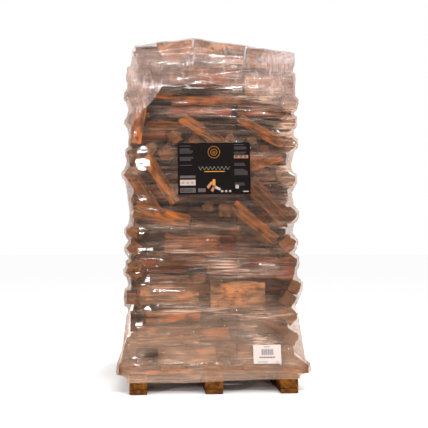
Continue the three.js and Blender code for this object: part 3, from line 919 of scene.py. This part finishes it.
def hull_reach(reach):
    """A taut loop round one level: its convex outline, as a distance for each angle."""
    angles = (np.arange(ANGLES) + 0.5) / ANGLES * TAU
    points = np.stack([reach * np.cos(angles), reach * np.sin(angles)], 1)
    order = np.lexsort((points[:, 1], points[:, 0]))

    def half(indices):
        chain = []
        for i in indices:
            while len(chain) > 1:
                a, b = points[chain[-2]], points[chain[-1]]
                c = points[i]
                if (b[0] - a[0]) * (c[1] - a[1]) - (b[1] - a[1]) * (c[0] - a[0]) > 0:
                    break
                chain.pop()
            chain.append(i)
        return chain[:-1]

    loop = points[half(order) + half(order[::-1])]
    bearing = np.arctan2(loop[:, 1], loop[:, 0]) % TAU
    loop, bearing = loop[np.argsort(bearing)], np.sort(bearing)
    after = np.searchsorted(bearing, angles) % len(loop)
    a, b = loop[after - 1], loop[after]
    ray = np.stack([np.cos(angles), np.sin(angles)], 1)
    edge = b - a
    cross = edge[:, 0] * ray[:, 1] - edge[:, 1] * ray[:, 0]
    return (edge[:, 0] * a[:, 1] - edge[:, 1] * a[:, 0]) / cross


def spread_out(reach):
    """Each cell raised to its neighbours, so that film between samples clears the wood."""
    best = reach.copy()
    for shift in (-1, 1):
        best = np.maximum(best, np.roll(reach, shift, axis=1))
    taller = best.copy()
    taller[1:] = np.maximum(taller[1:], best[:-1])
    taller[:-1] = np.maximum(taller[:-1], best[1:])
    return taller


def rounded(reach, width=13):
    """Each level eased along its length, as film bends round the stack's corners."""
    window = np.hanning(width + 2)[1:-1]
    window /= window.sum()
    padded = np.concatenate([reach[:, -(width // 2):], reach, reach[:, : width // 2]], axis=1)
    return np.array([np.convolve(row, window, mode="valid") for row in padded])


def film_reach(wood_points, levels, rng):
    """How far out the wound film lies, for each level and angle."""
    wood = reach_map(wood_points, levels)
    pulled = tented(wood, FILM_STEP, FILM_SAG)
    taut = np.array([hull_reach(row) for row in pulled])
    skirt = levels < DECK_BOTTOM
    deck_row = int(np.argmax(levels >= DECK_BOTTOM + 0.004))
    foot = hull_reach(np.maximum(wood[2], 0.2))
    share = np.clip((levels[skirt] - levels[0]) / (DECK_BOTTOM - levels[0]), 0, 1)[:, None]
    taut[skirt] = foot * (1 - share) + taut[deck_row] * share
    soft = taut.copy()
    soft[1:-1] = 0.25 * taut[:-2] + 0.5 * taut[1:-1] + 0.25 * taut[2:]
    film = np.maximum(rounded(soft), spread_out(wood)) + FILM_CLEARANCE
    slack = np.clip((film - wood) / 0.03, 0, 1)
    around = (np.arange(ANGLES) / ANGLES * GIRTH)[None, :]
    up = levels[:, None]
    waves = ripple(rng, up, around, 0.036, 9, 0.0016, 8) + ripple(rng, up, around, 0.070, 4, 0.0022, 5)
    return film + np.abs(waves) * (0.35 + 0.65 * slack)


def film_layers(angles, levels):
    """How many turns of the wound strip lie at each place. The strip is half a metre wide."""
    width = 0.5
    turns = [(0.0, 0.0), (0.02, 0.0), (0.05, 0.22), (0.27, 0.24), (0.51, 0.25), (0.76, 0.19), (0.95, 0.01)]
    count = np.zeros((len(levels), len(angles)))
    around = (angles / TAU)[None, :]
    for low, climb in turns:
        edge = low + climb * around
        count += (levels[:, None] >= edge) & (levels[:, None] <= edge + width)
    return count


# Where the wound film is bunched and milky on the front, its white milk there partly a painted highlight:
# x, z, half width, half height, haze.
BUNCHED_AND_HIGHLIGHT = [
    (0.064, 0.542, 0.100, 0.045, 0.60),
    (0.210, 0.520, 0.080, 0.022, 0.34),
    (0.142, 0.255, 0.050, 0.022, 0.80),
    (0.200, 0.215, 0.040, 0.012, 0.70),
    (0.200, 1.250, 0.130, 0.050, 0.42),
    (-0.200, 0.440, 0.090, 0.040, 0.22),
    (-0.100, 0.345, 0.160, 0.022, 0.26),
    (-0.120, 0.600, 0.130, 0.018, 0.20),
    (0.050, 1.190, 0.200, 0.012, 0.20),
    (0.000, 1.400, 0.300, 0.050, 0.14),
    (-0.150, 0.700, 0.150, 0.015, 0.18),
    (0.230, 0.330, 0.100, 0.030, 0.20),
    (0.300, 0.660, 0.050, 0.090, 0.12),
    (0.190, 1.010, 0.120, 0.014, 0.22),
    (0.335, 1.020, 0.030, 0.240, 0.30),
    (0.310, 1.110, 0.045, 0.045, 0.30),
    (0.325, 0.930, 0.035, 0.060, 0.30),
    (-0.345, 1.250, 0.025, 0.160, 0.22),
    (-0.330, 0.945, 0.030, 0.016, 0.40),
    (0.210, 1.300, 0.120, 0.016, 0.35),
    (0.150, 1.172, 0.100, 0.006, 0.50),
]


# Where it lies single and clear, so that the gaps behind it show dark; the last is a share.
CLEAR = [
    (-0.335, 0.475, 0.050, 0.030, 0.60),
    (-0.335, 0.335, 0.050, 0.034, 0.90),
    (-0.262, 0.165, 0.050, 0.028, 0.85),
    (0.280, 0.420, 0.050, 0.050, 0.35),
    (0.280, 0.260, 0.040, 0.040, 0.35),
    (-0.220, 0.520, 0.110, 0.028, 0.45),
    (0.120, 0.470, 0.120, 0.022, 0.55),
    (-0.184, 0.326, 0.090, 0.026, 0.75),
    (0.225, 0.530, 0.070, 0.030, 0.60),
    (0.060, 0.330, 0.120, 0.018, 0.35),
]


# The same for the cover sheet.
COVER_BUNCHED = [
    (0.290, 1.420, 0.075, 0.080, 0.42),
    (0.250, 1.300, 0.060, 0.040, 0.20),
    (-0.350, 1.370, 0.025, 0.060, 0.45),
    (-0.240, 1.390, 0.040, 0.022, 0.30),
    (-0.290, 1.300, 0.060, 0.020, 0.22),
    (-0.300, 1.230, 0.050, 0.060, 0.16),
    (0.060, 1.410, 0.090, 0.016, 0.20),
    (-0.350, 1.370, 0.030, 0.060, 0.30),
    (0.330, 1.450, 0.040, 0.050, 0.30),
]


def patch_sum(points, patches):
    """How much the listed soft patches add at each point on the front, from its place."""
    extra = np.zeros(len(points))
    on_front = np.clip((-points[:, 1] - 0.45) / 0.08, 0, 1)
    for x, z, half_width, half_height, amount in patches:
        away = ((points[:, 0] - x) / half_width) ** 2 + ((points[:, 2] - z) / half_height) ** 2
        extra += amount * np.exp(-away)
    return extra * on_front


def film_faces(rings, outward=True):
    """Quads between the rings of a film, which face outward when the rings rise."""
    starts = [(i * ANGLES, (i + 1) * ANGLES) for i in range(rings - 1)]
    return np.concatenate([ring_faces(*(pair if outward else pair[::-1]), ANGLES) for pair in starts])


def add_film(name, node, points, quads, tris, haze, crease_and_highlight, material):
    values = {"haze": haze, "crease_and_highlight": crease_and_highlight}
    item = mesh_object(name, points, quads, tris, values, material)
    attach(item, "root")
    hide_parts(node)
    return item


def wrap_haze(points, angles, levels):
    """How milky the wound film is: thick at the foot, clearer in the middle, and by its turns."""
    x, y, z = np.abs(points[:, 0]), np.abs(points[:, 1]), points[:, 2]
    steps = [0.0, 0.12, 0.28, 0.42, 0.62, 0.9, 1.5]
    foot = np.interp(z, steps, [0.36, 0.35, 0.22, 0.055, 0.035, 0.012, 0.02])
    layers = film_layers(angles, levels).ravel()
    at_corner = np.clip((x - 0.20) / 0.12, 0, 1) * np.clip((y - 0.35) / 0.12, 0, 1)
    above_foot = np.clip((z - 0.20) / 0.08, 0, 1)
    deck_edge = np.exp(-(((z - 0.112) / 0.010) ** 2)) * 0.35
    deck_edge += np.clip((x - 0.375) / 0.02, 0, 1) * np.clip((0.14 - z) / 0.02, 0, 1) * 0.8
    dark = patch_sum(points, CLEAR)
    clear = 1 - np.clip(0.40 * at_corner * above_foot + deck_edge + dark, 0, 0.95)
    return np.clip((foot + 0.009 * (layers - 2)) * clear, 0.0, 0.7)


def smooth(share):
    """A share held to 0 and 1, and eased at both ends."""
    share = np.clip(share, 0, 1)
    return share * share * (3 - 2 * share)


FACET_EASE = 2.2  # where a facet has eased back into the film, in radii
POSTER_EASE = 0.035  # how far round the poster the film eases back

# Small taut facets near the front left corner: x, height, radius, and how far each turns and lifts,
# in degrees. Their angles are chosen so that the camera sees the left lamp in them.
FACETS = [
    (-0.300, 1.020, 0.026, 16.5, 1.2),
    (-0.302, 0.972, 0.032, 16.5, 2.0),
    (-0.303, 0.827, 0.022, 16.5, 3.8),
    (-0.302, 0.688, 0.020, 16.5, 5.8),
    (-0.300, 0.611, 0.018, 16.5, 7.0),
    (-0.290, 0.480, 0.024, 16.5, 8.9),
    (-0.325, 0.504, 0.016, 16.5, 8.6),
    (-0.280, 0.350, 0.020, 16.5, 10.8),
    (-0.315, 0.290, 0.018, 16.5, 11.6),
    (-0.330, 0.140, 0.020, 16.5, 13.8),
]


def draw_facets(points):
    """Tilts small round areas of the film to flat facets, eased into the film round them."""
    for x, z, radius, turn, lift in FACETS:
        away = np.hypot(points[:, 0] - x, points[:, 2] - z)
        near = (away < radius * FACET_EASE) & (points[:, 1] < FRONT_PART)
        if not near.any():
            continue
        centre_y = points[near][np.argmin(away[near]), 1]
        slope_x = math.tan(math.radians(turn))
        slope_z = math.tan(math.radians(lift))
        flat_y = centre_y - 0.002 + slope_x * (x - points[near, 0]) + slope_z * (points[near, 2] - z)
        ease = smooth((FACET_EASE - away[near] / radius) / 1.1)
        points[near, 1] = points[near, 1] * (1 - ease) + flat_y * ease


def seat_poster(points):
    """Draws the film flat behind the stiff poster, easing off round it."""
    low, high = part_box("poster_label")
    beyond_x = np.maximum(low[0] - points[:, 0], points[:, 0] - high[0])
    beyond_z = np.maximum(low[2] - points[:, 2], points[:, 2] - high[2])
    beyond = np.hypot(np.maximum(beyond_x, 0), np.maximum(beyond_z, 0))
    front = points[:, 1] < FRONT_PART
    flat_y = points[front & (beyond <= 0), 1].min()
    ease = smooth(1 - beyond / POSTER_EASE) * front
    points[:, 1] = points[:, 1] * (1 - ease) + np.minimum(points[:, 1], flat_y) * ease


def add_wrap(wood_points, material):
    """The wound film, from its ragged lower edge on the blocks to its upper edge on the shoulder."""
    rng = np.random.default_rng(40)
    levels = np.arange(FILM_LOW, FILM_HIGH, FILM_STEP)
    angles = (np.arange(ANGLES) + 0.5) / ANGLES * TAU
    reach = film_reach(wood_points, levels, rng)
    heights = np.repeat(levels[:, None], ANGLES, 1)
    low_edge = 0.010 * np.sin(angles * 1.0 + 2.4) + 0.004 * np.sin(angles * 5 + 1.0) + 0.004
    fade = np.clip(1 - (levels - FILM_LOW) / 0.08, 0, 1)[:, None]
    heights += fade * low_edge
    high_edge = 0.012 * np.sin(angles * 2 + 0.7) + 0.006 * np.sin(angles * 9)
    fade = np.clip(1 - (FILM_HIGH - levels) / 0.10, 0, 1)[:, None]
    heights += fade * high_edge
    lean_in = 0.010 * fade**2
    points = np.stack(
        [(reach - lean_in) * np.cos(angles), (reach - lean_in) * np.sin(angles), heights], 2
    ).reshape(-1, 3)
    draw_facets(points)
    seat_poster(points)
    haze = wrap_haze(points, angles, levels)
    # The listed patches add white milk and gloss: real bunched film, and painted highlight in the milk.
    crease_and_highlight = 0.042 + patch_sum(points, BUNCHED_AND_HIGHLIGHT)
    quads = film_faces(len(levels))
    item = add_film("film_wrap_wound", "film_wrap", points, quads, NO_TRIS, haze, crease_and_highlight, material)
    return angles, levels, reach


def top_height(wood_points, grid_x, grid_y):
    """The film's height over the top layer, with tents over the highest tips, and the wood's own."""
    step = grid_x[1] - grid_x[0]
    high = wood_points[wood_points[:, 2] > STACK_TOP]
    field = np.full((len(grid_y), len(grid_x)), STACK_TOP + 0.03)
    column = np.clip(np.round((high[:, 0] - grid_x[0]) / step).astype(int), 0, len(grid_x) - 1)
    row = np.clip(np.round((high[:, 1] - grid_y[0]) / step).astype(int), 0, len(grid_y) - 1)
    np.maximum.at(field, (row, column), high[:, 2])
    wood = field.copy()
    wood[:, 1:] = np.maximum(wood[:, 1:], field[:, :-1])
    wood[:, :-1] = np.maximum(wood[:, :-1], field[:, 1:])
    drop = 0.20 * step
    for _ in range(60):
        padded = np.pad(field, 1, mode="edge")
        across = np.maximum(padded[:, :-2], padded[:, 2:])
        beside = np.maximum(across[1:-1], np.maximum(padded[:-2, 1:-1], padded[2:, 1:-1]))
        corners = np.maximum(across[:-2], across[2:])
        field = np.maximum(field, np.maximum(beside - drop, corners - 1.41 * drop))
    return field, wood


def sampled(field, x, y, grid_x, grid_y):
    """A height field's values between its samples."""
    step = grid_x[1] - grid_x[0]
    column = np.clip((x - grid_x[0]) / step, 0, len(grid_x) - 1.001)
    row = np.clip((y - grid_y[0]) / step, 0, len(grid_y) - 1.001)
    c, r = column.astype(int), row.astype(int)
    fc, fr = column - c, row - r
    near = field[r, c] * (1 - fc) + field[r, c + 1] * fc
    far = field[r + 1, c] * (1 - fc) + field[r + 1, c + 1] * fc
    return near * (1 - fr) + far * fr


# The cover sheet's hem, round the stack from the front left corner: x, y and height.
HEM = [
    (-0.37, -0.56, 1.120),
    (-0.338, -0.56, 1.148),
    (-0.216, -0.56, 1.307),
    (0.100, -0.56, 1.307),
    (0.224, -0.56, 1.252),
    (0.334, -0.56, 1.214),
    (0.37, -0.50, 1.130),
    (0.37, -0.30, 1.290),
    (0.37, 0.30, 1.310),
    (0.37, 0.56, 1.150),
    (0.20, 0.56, 1.300),
    (-0.20, 0.56, 1.290),
    (-0.37, 0.56, 1.140),
    (-0.37, 0.30, 1.300),
    (-0.37, -0.35, 1.300),
]


def hem_height(angles):
    bearings = [math.atan2(y, x) % TAU for x, y, _ in HEM]
    heights = np.interp(angles, *zip(*sorted(zip(bearings, (z for _, _, z in HEM)))), period=TAU)
    return heights + 0.006 * np.sin(angles * 7 + 1) + 0.004 * np.sin(angles * 23)


COVER_HAZE = 0.12


def cover_top(wood_points, angles, shoulder):
    """The cover's rings over the top layer, from the middle out to the shoulder."""
    step = 0.01
    grid_x = np.arange(-0.40, 0.401, step)
    grid_y = np.arange(-0.60, 0.601, step)
    tents, bare = top_height(wood_points, grid_x, grid_y)
    rings = []
    for keep in np.concatenate([np.linspace(0.04, 0.9, 34), np.linspace(0.92, 1.0, 8)]):
        radius = shoulder * keep
        x, y = radius * np.cos(angles), radius * np.sin(angles)
        sag = 0.040 * np.clip((keep - 0.92) / 0.08, 0, 1) ** 2
        drawn = sampled(tents, x, y, grid_x, grid_y) - sag
        z = np.maximum(drawn, sampled(bare, x, y, grid_x, grid_y)) + 0.005
        rings.append(np.stack([x, y, z], 1))
    return rings


def cover_side(wrap, shoulder, top_z, shares):
    """The cover's rings down the sides to its hem, just inside the wound film."""
    angles, levels, reach = wrap
    hem = hem_height(angles)
    column = np.arange(ANGLES)
    rings = []
    for share in shares:
        z = top_z * (1 - share) + hem * share
        row = np.clip((z - levels[0]) / FILM_STEP, 0, len(levels) - 1.001)
        r, f = row.astype(int), row - row.astype(int)
        wall = reach[r, column] * (1 - f) + reach[np.minimum(r + 1, len(levels) - 1), column] * f
        above = np.clip((z - levels[-1]) / 0.03, 0, 1)
        radius = (wall - 0.0015) * (1 - above) + shoulder * above
        radius = np.minimum(radius, wall - 0.0013)
        rings.append(np.stack([radius * np.cos(angles), radius * np.sin(angles), z], 1))
    return rings


def add_cover(wood_points, wrap, material):
    """The cover sheet: over the top, and down the sides to a hem that hangs lower at the corners."""
    rng = np.random.default_rng(41)
    angles, levels, reach = wrap
    shoulder = reach[int(np.argmin(np.abs(levels - FILM_SHOULDER)))] - 0.002
    rings = cover_top(wood_points, angles, shoulder)
    haze = [np.full(ANGLES, COVER_HAZE)] * len(rings)
    corner = np.abs(np.sin(2 * np.arctan2(np.sin(angles) / HALF_Y, np.cos(angles) / HALF_X)))
    shares = np.linspace(0, 1, 40)[1:]
    rings += cover_side(wrap, shoulder, rings[-1][:, 2], shares)
    haze += [COVER_HAZE - 0.07 * share * (1 - corner) + 0.06 * corner * share for share in shares]
    points = np.concatenate(rings + [np.array([[0, 0, rings[0][:, 2].max()]])])
    around = (angles / TAU * GIRTH)[None, :]
    crumple = ripple(rng, around, np.arange(len(rings))[:, None] * 0.01, 0.05, 2.5, 0.0014, 8)
    points[: len(rings) * ANGLES, 2] -= np.abs(crumple).ravel() * 0.6
    quads = film_faces(len(rings), outward=False)
    here = np.arange(ANGLES)
    fan = np.stack([np.full(ANGLES, len(points) - 1), here, (here + 1) % ANGLES], 1)
    milk = np.concatenate(haze + [np.array([0.1])]) + patch_sum(points, COVER_BUNCHED)
    creased = np.full(len(points), 0.10)
    name, node = "film_cover_sheet_draped", "film_cover_sheet"
    item = add_film(name, node, points, quads, fan, milk, creased, material)


# ---- labels ----
def inked_mesh(name, points, quads, inks, materials):
    """A mesh of one or more inks, with the number of the ink for each quad."""
    item = mesh_object(name, np.array(points), np.array(quads), NO_TRIS, {}, materials[0])
    for extra in materials[1:]:
        item.data.materials.append(extra)
    item.data.polygons.foreach_set("material_index", np.array(inks, np.int32))
    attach(item, "root")
    return item


class Print:
    """Flat marks in one plane, each a thin patch of one ink."""

    def __init__(self, place):
        self.place = place
        self.points, self.quads, self.inks = [], [], []

    def patch(self, left, bottom, right, top, ink, lift=0.0004):
        columns = max(1, int(round((right - left) / 0.02)))
        rows = max(1, int(round((top - bottom) / 0.02)))
        base = sum(len(p) for p in self.points)
        u = np.linspace(left, right, columns + 1)
        v = np.linspace(bottom, top, rows + 1)
        grid = np.array([self.place(a, b, lift) for b in v for a in u])
        self.points.append(grid)
        for r in range(rows):
            for c in range(columns):
                i = base + r * (columns + 1) + c
                self.quads.append((i, i + 1, i + columns + 2, i + columns + 1))
                self.inks.append(ink)

    def row(self, count, pitch, left, bottom, right, top, ink, lift=0.0004):
        """A patch repeated to the right."""
        for i in range(count):
            self.patch(left + i * pitch, bottom, right + i * pitch, top, ink, lift)

    def build(self, name, materials):
        return inked_mesh(name, np.concatenate(self.points), self.quads, self.inks, materials)


def add_label_sheet(node, place, half_width, half_height, material):
    """A label's bare sheet, in place of its frame node."""
    sheet = Print(place)
    sheet.patch(-half_width, -half_height, half_width, half_height, 0, 0.0)
    item = sheet.build(node + "_sheet", [material])
    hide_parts(node)


def film_front(wrap, x, z):
    """The y of the wound film's front at x and z."""
    angles, levels, reach = wrap
    row = int(np.clip(round((z - levels[0]) / FILM_STEP), 0, len(levels) - 1))
    front = (angles > math.pi) & (angles < TAU)
    xs = reach[row, front] * np.cos(angles[front])
    ys = reach[row, front] * np.sin(angles[front])
    return float(np.interp(x, xs, ys))


def label_place(wrap, node, lean):
    """Where a label's own point (across, up, out) lies: flat, and no part of it inside the film."""
    low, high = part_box(node)
    centre = (np.array(low) + np.array(high)) / 2
    tilt = math.radians(lean[0])
    back = math.radians(lean[1])
    across = np.array([math.cos(tilt), 0, math.sin(tilt)])
    up = np.array([-math.sin(tilt), math.sin(back), math.cos(tilt) * math.cos(back)])
    up /= np.linalg.norm(up)
    out = np.cross(across, up)
    width, height = high[0] - low[0], high[2] - low[2]
    need = []
    for a in np.linspace(-0.5, 0.5, 9):
        for b in np.linspace(-0.5, 0.5, 9):
            spot = centre + across * a * width + up * b * height
            need.append(spot[1] - film_front(wrap, spot[0], spot[2]))
    origin = centre + np.array([0, -1, 0]) * max(need)

    def place(a, b, lift):
        return origin + across * a + up * b + out * (lift + 0.001)

    return place


# Blocks of lines in the poster's two outer columns: a column's left, then each top and line count.
POSTER_LINES = {
    -0.146: [(0.098, 1), (0.086, 5), (0.050, 4), (0.016, 1)],
    0.086: [(0.102, 1), (0.092, 3), (0.070, 4), (0.022, 3), (-0.004, 6)],
}


def add_poster(wrap, inks):
    """The black landscape poster: plain bars and panels, with no lettering, and its sign."""
    black, cream, grey, orange, brown = range(5)
    place = label_place(wrap, "poster_label", (1.0, 0.0))
    add_label_sheet("poster_label", place, 0.155, 0.1095, inks[black])
    marks = Print(place)
    rng = np.random.default_rng(60)

    def lines(left, width, top, count, ink, pitch=0.0046, thick=0.0016):
        for i in range(count):
            end = left + width * rng.uniform(0.72, 1.0)
            marks.patch(left, top - i * pitch - thick, end, top - i * pitch, ink)

    for left, blocks in POSTER_LINES.items():
        for top, count in blocks:
            lines(left, 0.058, top, count, grey)
    marks.patch(0.086, 0.043, 0.146, 0.056, brown)
    marks.row(3, 0.020, 0.089, 0.045, 0.102, 0.054, grey, 0.0006)
    marks.patch(-0.146, -0.071, -0.080, -0.047, cream)
    marks.row(3, 0.020, -0.139, -0.063, -0.128, -0.055, brown, 0.0006)
    marks.patch(-0.146, -0.040, -0.080, -0.029, grey)
    marks.patch(-0.146, -0.102, -0.080, -0.082, grey)
    lines(-0.142, 0.056, -0.086, 3, black, 0.005, 0.002)
    marks.patch(-0.070, -0.100, -0.038, -0.084, grey)
    lines(0.086, 0.056, -0.062, 3, grey)
    marks.patch(0.090, -0.086, 0.104, -0.070, cream)
    marks.patch(0.122, -0.101, 0.146, -0.097, cream)
    marks.row(3, 0.017, 0.028, -0.101, 0.037, -0.093, cream)
    marks.patch(-0.042, -0.014, 0.046, -0.011, orange)
    item = marks.build("poster_label_marks", inks)
    add_poster_sign(place, inks[orange], inks[brown], inks[cream])


def flourish(place):
    """A plain wavy stroke, as a ribbon of points: its two edges."""
    turn = np.linspace(0, 1, 90)
    x = -0.066 + 0.132 * turn
    y = 0.0015 + 0.0060 * np.cos(turn * 50)
    upper = [place(a, b + 0.0008, 0.0006) for a, b in zip(x, y)]
    lower = [place(a, b - 0.0008, 0.0006) for a, b in zip(x, y)]
    return upper, lower


# The poster's sign: leaning split logs, each a middle, a half length, a half thickness and an angle.
SIGN_LOGS = [
    (-0.020, -0.070, 0.017, 0.0060, 52, 1),
    (-0.002, -0.060, 0.014, 0.0070, 88, 0),
    (0.010, -0.082, 0.017, 0.0060, -28, 2),
    (-0.006, -0.086, 0.013, 0.0060, 62, 1),
]


def add_poster_sign(place, orange, brown, cream):
    """Plain rings, like a log's end, a wavy stroke and a few leaning logs."""
    points, quads, inks = [], [], []

    def strip(first, second, ink, closed=False):
        base, count = len(points), len(first)
        points.extend(list(first) + list(second))
        for i in range(count if closed else count - 1):
            j = (i + 1) % count
            quads.append((base + i, base + j, base + count + j, base + count + i))
            inks.append(ink)

    around = np.arange(40) / 40 * TAU
    for radius in (0.0255, 0.0140, 0.0050):
        edges = []
        for r in (radius, radius - 0.0013):
            edges.append([place(r * math.cos(t), 0.070 + r * math.sin(t), 0.0005) for t in around])
        strip(*edges, 0, closed=True)
    strip(*flourish(place), 2)
    for x, y, half_long, half_thick, angle, ink in SIGN_LOGS:
        c, t = math.cos(math.radians(angle)), math.sin(math.radians(angle))
        edges = []
        for way, lean in ((1, 0.8), (-1, 1.0)):
            ends = ((-half_long * lean, way * half_thick), (half_long, way * half_thick * 0.8))
            edges.append([place(x + a * c - b * t, y + a * t + b * c, 0.0006) for a, b in ends])
        strip(*edges, ink)
    item = inked_mesh("poster_label_sign", points, quads, inks, [orange, brown, cream])


def add_ticket(wrap, paper, ink):
    """The small pale label: a plain pattern of bars and lines."""
    place = label_place(wrap, "barcode_label", (0.0, 16.0))
    add_label_sheet("barcode_label", place, 0.059, 0.040, paper)
    marks = Print(place)
    rng = np.random.default_rng(61)
    x = -0.024
    while x < 0.024:
        width = rng.choice([0.0008, 0.0014, 0.0024])
        marks.patch(x, -0.004, x + width, 0.021, 0)
        x += width + rng.choice([0.0008, 0.0014, 0.002])
    marks.row(11, 0.0062, -0.0340, -0.0165, -0.0294, -0.0105, 0)
    marks.row(4, 0.0065, -0.0120, 0.0295, -0.0075, 0.0325, 0)
    marks.row(6, 0.0068, -0.0380, -0.0345, -0.0330, -0.0315, 0)
    marks.row(2, 0.0070, 0.0360, -0.0345, 0.0400, -0.0315, 0)
    item = marks.build("barcode_label_marks", [ink])


# ---- studio ----
def add_light(name, place, target, size, power):
    data = bpy.data.lights.new(name, "AREA")
    data.shape = "RECTANGLE"
    data.size, data.size_y = size
    data.energy = power
    lamp = bpy.data.objects.new(name, data)
    lamp.location = place
    way = Vector(target) - Vector(place)
    lamp.rotation_euler = way.to_track_quat("-Z", "Y").to_euler()
    bpy.context.scene.collection.objects.link(lamp)


def add_studio():
    world = bpy.data.worlds.new("studio")
    world.use_nodes = True
    world.node_tree.nodes["Background"].inputs["Color"].default_value = (1, 1, 1, 1)
    world.node_tree.nodes["Background"].inputs["Strength"].default_value = 1.0
    bpy.context.scene.world = world
    bpy.context.scene.view_settings.view_transform = "Standard"

    s = Shader("studio_floor")
    shader = s.node("BsdfDiffuse", {"Color": rgba((0.97, 0.97, 0.97))}).outputs[0]
    size = 60.0
    corners = np.array([(-size, -size, 0), (size, -size, 0), (size, size, 0), (-size, size, 0)])
    quad = np.array([[0, 1, 2, 3]])
    floor = mesh_object("studio_floor", corners, quad, NO_TRIS, {}, s.finish(shader))
    floor.location.z = -0.0005

    add_light("strip_front", (0.3, -4.0, 3.3), (0, -0.5, 0.7), (1.8, 0.10), 115)
    add_light("lamp_left", (-2.6, -4.0, 1.6), (0, -0.3, 0.8), (0.40, 0.40), 84)
    add_light("fill_back", (1.2, 4.5, 2.4), (0, 0.3, 0.8), (1.4, 1.4), 110)
    add_light("lamp_right", (2.6, -3.6, 2.4), (0.2, -0.5, 0.6), (0.3, 0.3), 42)


# ---- everything, camera first ----
make_camera()
wood = wood_material("split_wood_look", (0.13, 0.058, 0.020), 0.5, 0.72)
pallet_wood = wood_material("pallet_wood_look", (0.26, 0.095, 0.010), 0.5, 0.78, (0.40, 0.60))
film = film_material("stretch_film_look", (0.68, 0.435, 0.305), (3.4, 3.4, 62.0), (12.0, 12.0, 230.0))
cover_film = film_material("cover_film_look", (0.61, 0.49, 0.465), (26.0, 26.0, 9.0), (120.0, 120.0, 26.0))

outer_points = add_front_logs(wood)
outer_points += add_side_logs(wood)
outer_points += add_back_logs(wood)
add_core_logs(wood)
outer_points += add_top_logs(wood)
outer_points += add_pallet(pallet_wood)
outer_points = np.concatenate(outer_points)

wound = add_wrap(outer_points, film)
add_cover(outer_points, wound, cover_film)
poster_inks = [
    print_material("poster_black", (0.0050, 0.0036, 0.0034), 0.45),
    print_material("poster_cream", (0.30, 0.25, 0.23), 0.45),
    print_material("poster_grey", (0.075, 0.060, 0.058), 0.45),
    print_material("poster_orange", (0.42, 0.17, 0.025), 0.4),
    print_material("poster_brown", (0.30, 0.13, 0.07), 0.4),
]
add_poster(wound, poster_inks)
ticket_paper = print_material("ticket_paper_look", (0.47, 0.395, 0.36), 0.45, 0.05)
ticket_ink = print_material("ticket_ink_look", (0.09, 0.07, 0.10), 0.5)
add_ticket(wound, ticket_paper, ticket_ink)
add_studio()
